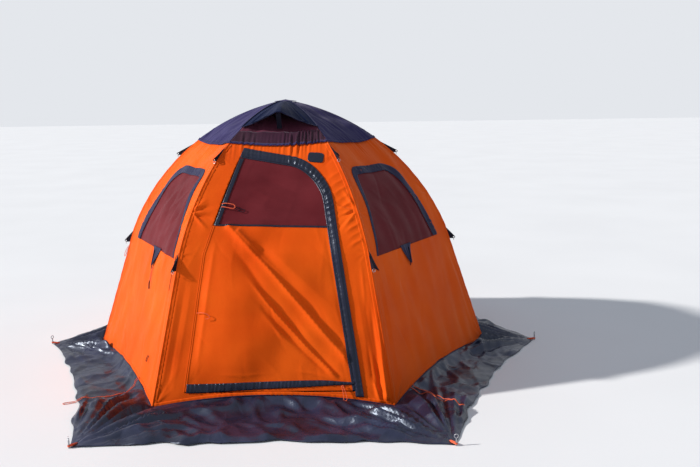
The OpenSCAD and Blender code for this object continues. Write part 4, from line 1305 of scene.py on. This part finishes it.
def skirt_side(side):
    """Start form of one side of the skirt, and its folds towards the tips.

    It slopes from the wall hem to the ground.
    """
    v, w = np.meshgrid(np.linspace(0, 1, SKIRT_ROWS), np.linspace(-1, 1, SKIRT_COLUMNS + 1), indexing="ij")
    a, b = tip_of((side + 4) % 6), tip_of((side + 5) % 6)
    t = (w + 1) / 2
    ragged = Waves(130 + side, 0.08, 0.5, 0, 5)(t, 0 * t) * 0.008 * np.minimum(1, 6 * t * (1 - t))
    hollow = SKIRT_HOLLOW[side] * 4 * t * (1 - t) + ragged
    edge = a + (b - a) * t[..., None] - hollow[..., None] * unit(a + b)
    angle = math.radians(60 * side)
    normal = np.array([math.sin(angle), -math.cos(angle)])
    right = np.array([math.cos(angle), math.sin(angle)])
    z_hem = hem_at(w * SIDE / 2) + 0.002
    face = FLAT * ridge(z_hem) - 0.003
    start = (w * face * math.tan(math.radians(30)))[..., None] * right + face[..., None] * normal
    flat = start + (edge - start) * v[..., None]
    away = flat @ normal - face
    slope = np.clip(1 - away / (SKIRT_DROP * z_hem / 0.062), 0, 1)
    pleats = np.zeros_like(away)
    for k, (tip, corner) in enumerate(((a, start[0, 0]), (b, start[0, -1]))):
        d, line = flat - tip, unit(corner - tip)
        r = np.hypot(d[..., 0], d[..., 1])
        turn = np.degrees(np.arctan2(np.abs(d @ [-line[1], line[0]]), np.maximum(d @ line, 1e-6)))
        bent = turn + 2.4 * np.sin(turn * 0.27 + side + 2 * k) + 0.8 * np.sin(turn * 1.1 + 3 * side)
        wave = np.abs((bent / 11.5) % 1 - 0.5) * 2
        fade = (1 - smooth(24, 58, turn)) * smooth(0, 0.05, r) * smooth(0.62, 0.30, r)
        pleats += wave ** 1.3 * r * 0.180 * fade
    ridged = 1.2 - np.abs(Waves(140 + side, 0.12, 0.34)(flat[..., 0], flat[..., 1])) ** 0.8
    crumple = Waves(145 + side, 0.05, 0.12)(flat[..., 0], flat[..., 1])
    broad = Waves(150 + side, 0.20, 0.50)(flat[..., 0], flat[..., 1])
    middle = smooth(0, 0.22, t) * smooth(0, 0.22, 1 - t) * SKIRT_SLACK[side]
    lift = pleats + middle * (0.018 * np.maximum(ridged, 0) + 0.001 * crumple + 0.008 * (1 + broad))
    z = z_hem * slope + (0.002 + np.maximum(lift, 0)) * smooth(0, 0.10, v) * (1 - 0.6 * smooth(0.9, 1, v))
    folds = lift * smooth(0, 0.12, v) * (1 - 0.8 * smooth(0.92, 1, v))
    return np.concatenate([flat, z[..., None]], axis=-1), folds


SKIRT_EXCESS = 0.022
SKIRT_FRAMES = 30
SKIRT_SHARE = 0.5
SKIRT_SMOOTHING = 6
SKIRT_GAP = 0.002
SKIRT_GRIP = 20
SKIRT_CLOTH = {
    "quality": 6, "mass": 0.12, "tension_stiffness": 25, "compression_stiffness": 25, "shear_stiffness": 12,
    "bending_stiffness": 5, "air_damping": 2, "tension_damping": 12, "compression_damping": 12,
    "shear_damping": 12, "bending_damping": 0.6, "vertex_group_mass": "pinned",
    "vertex_group_shrink": "slack", "shrink_min": 0.0, "shrink_max": -SKIRT_EXCESS}


def square(name, half):
    """A level square on the ground."""
    mesh = bpy.data.meshes.new(name)
    mesh.from_pydata([(-half, -half, 0), (half, -half, 0), (half, half, 0), (-half, half, 0)], [],
                     [(0, 1, 2, 3)])
    return add_object(name, mesh)


def settle(points, faces, pinned, slack):
    """Lets a cloth with slack settle on the floor under its own weight, and gives its points."""
    mesh = bpy.data.meshes.new("settling")
    mesh.from_pydata([tuple(p) for p in points], [], faces)
    cloth = add_object("settling", mesh)
    group = cloth.vertex_groups.new(name="pinned")
    group.add([int(i) for i in np.flatnonzero(pinned)], 1.0, "REPLACE")
    loose = cloth.vertex_groups.new(name="slack")
    for level in np.unique(np.round(slack, 2)):
        loose.add([int(i) for i in np.flatnonzero(np.round(slack, 2) == level)], float(level), "REPLACE")
    ground = square("ground", 3)
    ground.modifiers.new("collision", "COLLISION")
    ground.collision.thickness_outer = SKIRT_GAP
    ground.collision.cloth_friction = SKIRT_GRIP
    modifier = cloth.modifiers.new("cloth", "CLOTH")
    for setting, value in SKIRT_CLOTH.items():
        setattr(modifier.settings, setting, value)
    modifier.collision_settings.distance_min = SKIRT_GAP
    modifier.collision_settings.friction = SKIRT_GRIP
    modifier.collision_settings.use_self_collision = False
    modifier.point_cache.frame_end = SKIRT_FRAMES
    for frame_number in range(1, SKIRT_FRAMES + 1):
        bpy.context.scene.frame_set(frame_number)
    settled = cloth.evaluated_get(bpy.context.evaluated_depsgraph_get()).data
    made = np.empty(len(points) * 3)
    settled.vertices.foreach_get("co", made)
    bpy.context.scene.frame_set(1)
    for piece in (cloth, ground):
        bpy.data.objects.remove(piece, do_unlink=True)
    return made.reshape(-1, 3)


def skirt_ring():
    """The whole skirt as one ring of points, rows by columns, settled on the ground."""
    sides = [skirt_side(side) for side in range(6)]
    ring = np.concatenate([points[:, :-1] for points, lift in sides], axis=1)
    folds = np.concatenate([lift[:, :-1] for points, lift in sides], axis=1)
    rows, columns = ring.shape[:2]
    faces = grid_faces(rows, columns, closed=True)
    at_column = np.arange(columns) % SKIRT_COLUMNS
    from_tip = np.minimum(at_column, SKIRT_COLUMNS - at_column)
    row = np.arange(rows)[:, None]
    pinned = (row < 1) | ((row > rows - 3) & (from_tip[None, :] < 2))
    slack = np.repeat([SKIRT_SLACK], SKIRT_COLUMNS, axis=1).ravel()
    slack = slack[None, :] * smooth(0.0, 0.15, row / rows) * smooth(0, 8, from_tip)[None, :]
    slack = slack * (1 - 0.9 * smooth(0.65, 0.93, row / rows))
    settled = settle(ring.reshape(-1, 3), faces, pinned.ravel(), slack.ravel())
    settled = settled.reshape(rows, columns, 3)
    for _ in range(SKIRT_SMOOTHING):
        around = (np.roll(settled, 1, 1) + np.roll(settled, -1, 1))[1:-1] + settled[2:] + settled[:-2]
        settled[1:-1] = 0.5 * settled[1:-1] + 0.125 * around
    settled[..., 2] += SKIRT_SHARE * folds
    return settled


def make_skirt():
    ring = skirt_ring()
    ring[..., 2] = np.maximum(ring[..., 2], 0.0008)
    columns = ring.shape[1]
    for side in range(6):
        picked = [(side * SKIRT_COLUMNS + j) % columns for j in range(SKIRT_COLUMNS + 1)]
        points = ring[:, picked]
        faces = grid_faces(SKIRT_ROWS, SKIRT_COLUMNS + 1, start=1)
        name = "skirt_" + SIDE_NAMES[side]
        piece = mesh_object(name + "_cloth", points.reshape(-1, 3), faces, "skirt_cloth")
        thicken(piece, 0.0008, 1)
        hem, edge = skirt_side(side)[0][[0, -1]]
        attach(piece, "tent", [name])
    return BVHTree.FromPolygons([Vector(p) for p in ring.reshape(-1, 3)],
                                grid_faces(SKIRT_ROWS, columns, closed=True))


# Cords, along the same points as in the construction

CORD_SIZE = 0.003
LEFT_ROUTE = [
    (-746, -766, 64), (-760, -790, 48), (-782, -822, 33.5), (-806, -856, 16), (-846, -892, 4.5),
    (-900, -914, 4.5), (-944, -926, 4.5), (-990, -938, 4.5), (-1036, -952, 4.5), (-1058, -960, 4),
    (-1070, -970, 3), (-1064, -981, 3), (-1048, -978, 3), (-1020, -964, 4.5), (-980, -948, 4.5),
    (-938, -936, 4.5), (-892, -928, 4.5), (-850, -908, 4.5), (-808, -874, 10.5), (-776, -832, 32),
    (-752, -802, 48), (-736, -772, 64)]
RIGHT_ROUTE = [
    (684, -868, 52), (704, -892, 37), (730, -922, 20), (756, -942, 7), (784, -962, 4.5),
    (812, -998, 4.5), (840, -1030, 4.5), (866, -1048, 4.5), (892, -1068, 4.5), (908, -1084, 4.5),
    (918, -1098, 4.5), (932, -1096, 4.5), (930, -1082, 4.5), (910, -1060, 4.5), (886, -1036, 4.5),
    (858, -1016, 4.5), (832, -984, 4.5), (804, -954, 4.5), (776, -930, 8), (748, -906, 22),
    (722, -882, 40), (698, -860, 54)]


def curve_through(points, per_gap=6):
    """Points of a smooth curve that passes through the given ones."""
    p = np.array(points, float)
    p = np.vstack([2 * p[0] - p[1], p, 2 * p[-1] - p[-2]])
    made = []
    for i in range(1, len(p) - 2):
        for k in range(per_gap):
            t = k / per_gap
            a, b, c, d = p[i - 1], p[i], p[i + 1], p[i + 2]
            made.append(0.5 * (2 * b + (c - a) * t + (2 * a - 5 * b + 4 * c - d) * t * t
                               + (3 * b - a - 3 * c + d) * t ** 3))
    made.append(p[-2])
    return np.array(made)


def cord_piece(name, points, thickness, slot="orange_cord", body="tent"):
    data = bpy.data.curves.new(name, "CURVE")
    data.dimensions = "3D"
    data.bevel_depth = thickness / 2
    data.bevel_resolution = 3
    data.use_fill_caps = True
    spline = data.splines.new("POLY")
    spline.points.add(len(points) - 1)
    for point, place in zip(spline.points, points):
        point.co = (*place, 1)
    piece = add_object(name, data)
    data.materials.append(MATERIALS[slot])
    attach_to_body(piece, body)
    return piece


def over_skirt(points, skirt, gap):
    """The same points, kept a little above the skirt and the ground."""
    made = np.array(points)
    for p in made:
        hits = [skirt.ray_cast(Vector((p[0] + dx, p[1] + dy, 0.3)), Vector((0, 0, -1)))[0]
                for dx in (-0.003, 0, 0.003) for dy in (-0.003, 0, 0.003)]
        high = max([hit.z for hit in hits if hit is not None], default=0.0)
        p[2] = high + gap if p[2] < 0.050 else max(p[2], high + gap)
    middle = made[1:-1, 2] * 0.5 + (made[:-2, 2] + made[2:, 2]) * 0.25
    made[1:-1, 2] = np.maximum(made[1:-1, 2], middle)
    return made


def make_side_cords(skirt):
    for name, route in (("side_cord_left", LEFT_ROUTE), ("side_cord_right", RIGHT_ROUTE)):
        points = over_skirt(curve_through(np.array(route) / 1000), skirt, 0.0026)
        piece = cord_piece(name + "_line", points, CORD_SIZE)
        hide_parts(name)


def wall_line(side, points, body="tent"):
    """A smooth line given by u, height and lift over a wall."""
    p = np.array(points, float)
    u, s, lift = p[:, 0], length_at(p[:, 1]), p[:, 2]
    base = leaf_lift(u, s) if body == "door" else wall_lift(side, u, s)
    return curve_through(on_side(side, u, s, base + lift))


def tie(name, side, points, thickness, slot="orange_cord", body="tent"):
    """A thin cord or elastic that hangs on a wall, with both ends at it."""
    line = wall_line(side, points, body)
    piece = cord_piece(name, line, thickness, slot, body)


def make_ties():
    tie("door_toggle_loop", FRONT,
        [(-0.272, 0.972, 0.007), (-0.255, 0.974, 0.011), (-0.232, 0.972, 0.012), (-0.210, 0.968, 0.010),
         (-0.203, 0.958, 0.009), (-0.212, 0.950, 0.009), (-0.234, 0.953, 0.010), (-0.258, 0.957, 0.010),
         (-0.272, 0.958, 0.007)], 0.0045, body="door")
    tie("door_toggle_elastic", FRONT,
        [(-0.212, 0.954, 0.005), (-0.192, 0.946, 0.007), (-0.170, 0.935, 0.007), (-0.154, 0.936, 0.006),
         (-0.152, 0.944, 0.006), (-0.168, 0.947, 0.007), (-0.188, 0.954, 0.007), (-0.208, 0.960, 0.005)],
        0.003, "webbing", "door")
    tie("door_seam_loop", FRONT,
        [(-0.384, 0.449, 0.005), (-0.365, 0.451, 0.010), (-0.345, 0.449, 0.013), (-0.327, 0.443, 0.013),
         (-0.315, 0.433, 0.012), (-0.319, 0.424, 0.011), (-0.336, 0.421, 0.009)], 0.003, body="door")
    tie("zip_pull_cord", FRONT,
        [(0.344, 0.104, 0.008), (0.350, 0.092, 0.013), (0.357, 0.074, 0.017), (0.363, 0.056, 0.021),
         (0.3655, 0.043, 0.024), (0.364, 0.0355, 0.025), (0.359, 0.0325, 0.025), (0.353, 0.0335, 0.025),
         (0.3495, 0.040, 0.024), (0.3485, 0.054, 0.021), (0.346, 0.072, 0.017), (0.3415, 0.089, 0.013),
         (0.338, 0.102, 0.008)], 0.0035, body="door")
    tie("window_tab_elastic", LEFT_FRONT,
        [(0.052, 0.690, 0.004), (0.062, 0.660, 0.008), (0.072, 0.630, 0.010), (0.082, 0.604, 0.009),
         (0.086, 0.590, 0.007)], 0.005, "webbing")
    tie("window_loop_left", LEFT_FRONT,
        [(0.088, 0.600, 0.006), (0.094, 0.570, 0.008), (0.104, 0.545, 0.009), (0.118, 0.528, 0.010),
         (0.130, 0.530, 0.010), (0.130, 0.544, 0.010), (0.116, 0.560, 0.009), (0.100, 0.584, 0.008),
         (0.092, 0.604, 0.006)], 0.0035)
    tie("window_toggle_left", LEFT_FRONT,
        [(0.122, 0.532, 0.012), (0.126, 0.516, 0.012), (0.130, 0.500, 0.010), (0.133, 0.490, 0.009)],
        0.007, "webbing")
    tie("ridge_elastic_left", LEFT_FRONT,
        [(0.455, 0.726, 0.004), (0.456, 0.700, 0.006), (0.459, 0.672, 0.007), (0.462, 0.646, 0.008),
         (0.458, 0.620, 0.007), (0.457, 0.580, 0.006), (0.455, 0.548, 0.004)], 0.0025, "webbing")
    tie("low_loop_left", LEFT_FRONT,
        [(0.374, 0.196, 0.005), (0.3745, 0.184, 0.009), (0.374, 0.172, 0.010), (0.3715, 0.1665, 0.010),
         (0.367, 0.1645, 0.010), (0.3625, 0.1665, 0.010), (0.360, 0.172, 0.010), (0.3605, 0.184, 0.009),
         (0.361, 0.196, 0.005)], 0.003, "webbing")
    tie("window_tab_elastic_right", RIGHT_FRONT,
        [(-0.050, 0.690, 0.004), (-0.062, 0.660, 0.008), (-0.074, 0.632, 0.010), (-0.086, 0.608, 0.009),
         (-0.092, 0.596, 0.007)], 0.005, "webbing")
    half = half_wall(0.58)
    tie("ridge_loop_left", LEFT_FRONT,
        [(0.012 - half, 0.628, 0.006), (0.002 - half, 0.610, 0.010), (-0.004 - half, 0.588, 0.014),
         (0.002 - half, 0.568, 0.016), (0.014 - half, 0.562, 0.015), (0.020 - half, 0.576, 0.012),
         (0.016 - half, 0.598, 0.010), (0.018 - half, 0.622, 0.006)], 0.003)


TAB_WALLS = [(RIGHT_FRONT, -1), (RIGHT_BACK, -1), (BACK, -1), (LEFT_FRONT, 1), (LEFT_BACK, 1), (BACK, 1)]
TAB_POINTS = [[(0.004, 0.741), (0.004, 0.663), (0.070, 0.631)],
              [(0.004, 1.256), (0.006, 1.2075), (0.040, 1.195)]]


def make_tab_cloths():
    """Triangles of dark cloth that lie on the walls beside the ridges' tabs."""
    parts = []
    for side, way in TAB_WALLS:
        for points in TAB_POINTS:
            top, foot, tip = [np.array([way * (half_wall(z) - d), z]) for d, z in points]
            t = np.linspace(0, 0.97, 12)[:, None]
            lines = [foot + (tip - foot) * t, top + (tip - top) * t]

            def tab_lift(u, s, along, across, k=side):
                return wall_lift(k, u, s) + 0.0034 + 0.003 * np.sin(math.pi * across)

            parts.append(band(side, *(lines if way < 0 else lines[::-1]), tab_lift, 0.004, 6))
    strips("guy_tab_cloths", parts, "webbing", thickness=0.001)


def make_tip_loops():
    """Short webbing loops that hold the skirt tips to their pegs."""
    parts = []
    for k in range(6):
        a = math.radians(60 * k)
        out, side = np.array([math.cos(a), math.sin(a)]), np.array([-math.sin(a), math.cos(a)])
        r = SKIRT_TIP_RADII[k] + 0.0035
        turn = np.linspace(-math.pi * 0.75, math.pi * 0.75, 15)
        ring = [(r + 0.0056 * math.cos(t)) * out + 0.0056 * math.sin(t) * side for t in turn]
        first, last = (r - 0.045) * out - 0.003 * side, (r - 0.045) * out + 0.003 * side
        flat = np.array([first, *ring, last])
        z = np.concatenate([[0.005], np.full(len(ring), 0.011), [0.005]])
        line = curve_through(np.concatenate([flat, z[:, None]], axis=1), 3)
        parts.append(tube(line, 0.0014, 3.2))
    strips("skirt_tip_loops", parts, "orange_cord", thickness=0)


def make_piping():
    """Thin piping along the hems of the walls."""
    parts = []
    for side in range(6):
        u = np.linspace(-1, 1, 120) * (half_wall(HEM_FOOT) - 0.004)
        s = length_at(hem_at(u))
        parts.append(tube(on_side(side, u, s, 0.0030 + 0 * s), 0.0019))
    strips("hem_piping", parts, "tape_cloth", thickness=0)


def dress_frame():
    """Better materials for the CAD nodes that stay."""
    slots = {s["node"]: s["material_slot"] for s in frame["record"]["subparts"]}
    for name, node in frame["nodes"].items():
        node.data.materials.clear()
        node.data.materials.append(MATERIALS[slots[name]])


def make_stage():
    """The level floor."""
    floor = square("floor", 60)
    material, tree, shader = new_material("floor")
    tone = between_colours(tree, noise(tree, 0.8, 2), 0.3, srgb(226, 228, 232), 0.7, srgb(230, 232, 236))
    fill(tree, shader, {"Base Color": tone, "Roughness": 0.8})
    floor.data.materials.append(material)


def add_light(name, kind, energy, colour, way, spot=(0, 0, 0), **settings):
    """A lamp at a spot that shines along a direction."""
    data = bpy.data.lights.new(name, kind)
    data.energy = energy
    data.color = colour
    for setting, value in settings.items():
        setattr(data, setting, value)
    light = add_object(name, data)
    light.location = spot
    light.rotation_mode = "QUATERNION"
    light.rotation_quaternion = Vector(way).to_track_quat("-Z", "Y")


def make_light():
    """An even sky that the camera sees as plain grey, a low sun and a soft lamp from the front."""
    world = bpy.data.worlds.new("world")
    bpy.context.scene.world = world
    world.use_nodes = True
    tree = world.node_tree
    sky = tree.nodes["Background"]
    fill(tree, sky, {"Color": srgb(222, 230, 242), "Strength": 0.48})
    plain = node(tree, "Background", {"Color": srgb(228, 231, 236)})
    path = node(tree, "LightPath", {}).outputs
    seen = arithmetic(tree, "ADD", path["Is Camera Ray"], path["Is Transmission Ray"])
    share = arithmetic(tree, "ADD", seen, path["Is Glossy Ray"])
    backs = {1: sky.outputs["Background"], 2: plain.outputs["Background"]}
    mix = node(tree, "MixShader", {"Fac": share, **backs})
    fill(tree, tree.nodes["World Output"], {"Surface": mix.outputs["Shader"]})
    add_light("key", "SUN", 4.9, (1.0, 0.96, 0.90), (6.0, 0.85, -3.2), angle=math.radians(3))
    add_light("fill", "AREA", 10, (0.97, 0.98, 1.0), (1.6, 5.0, -3.6), (-1.6, -5.6, 4.4), shape="DISK",
              size=2.2)


make_camera()
skirt_surface = make_skirt()
make_side_cords(skirt_surface)
dress_frame()
make_walls()
make_windows()
make_front()
make_hems()
make_patch()
make_door()
make_flap()
make_cap()
make_hood()
make_ridge_seams()
make_piping()
make_tip_loops()
make_ties()
make_tab_cloths()
make_stage()
make_light()

scene = bpy.context.scene
scene.view_settings.view_transform = "Standard"
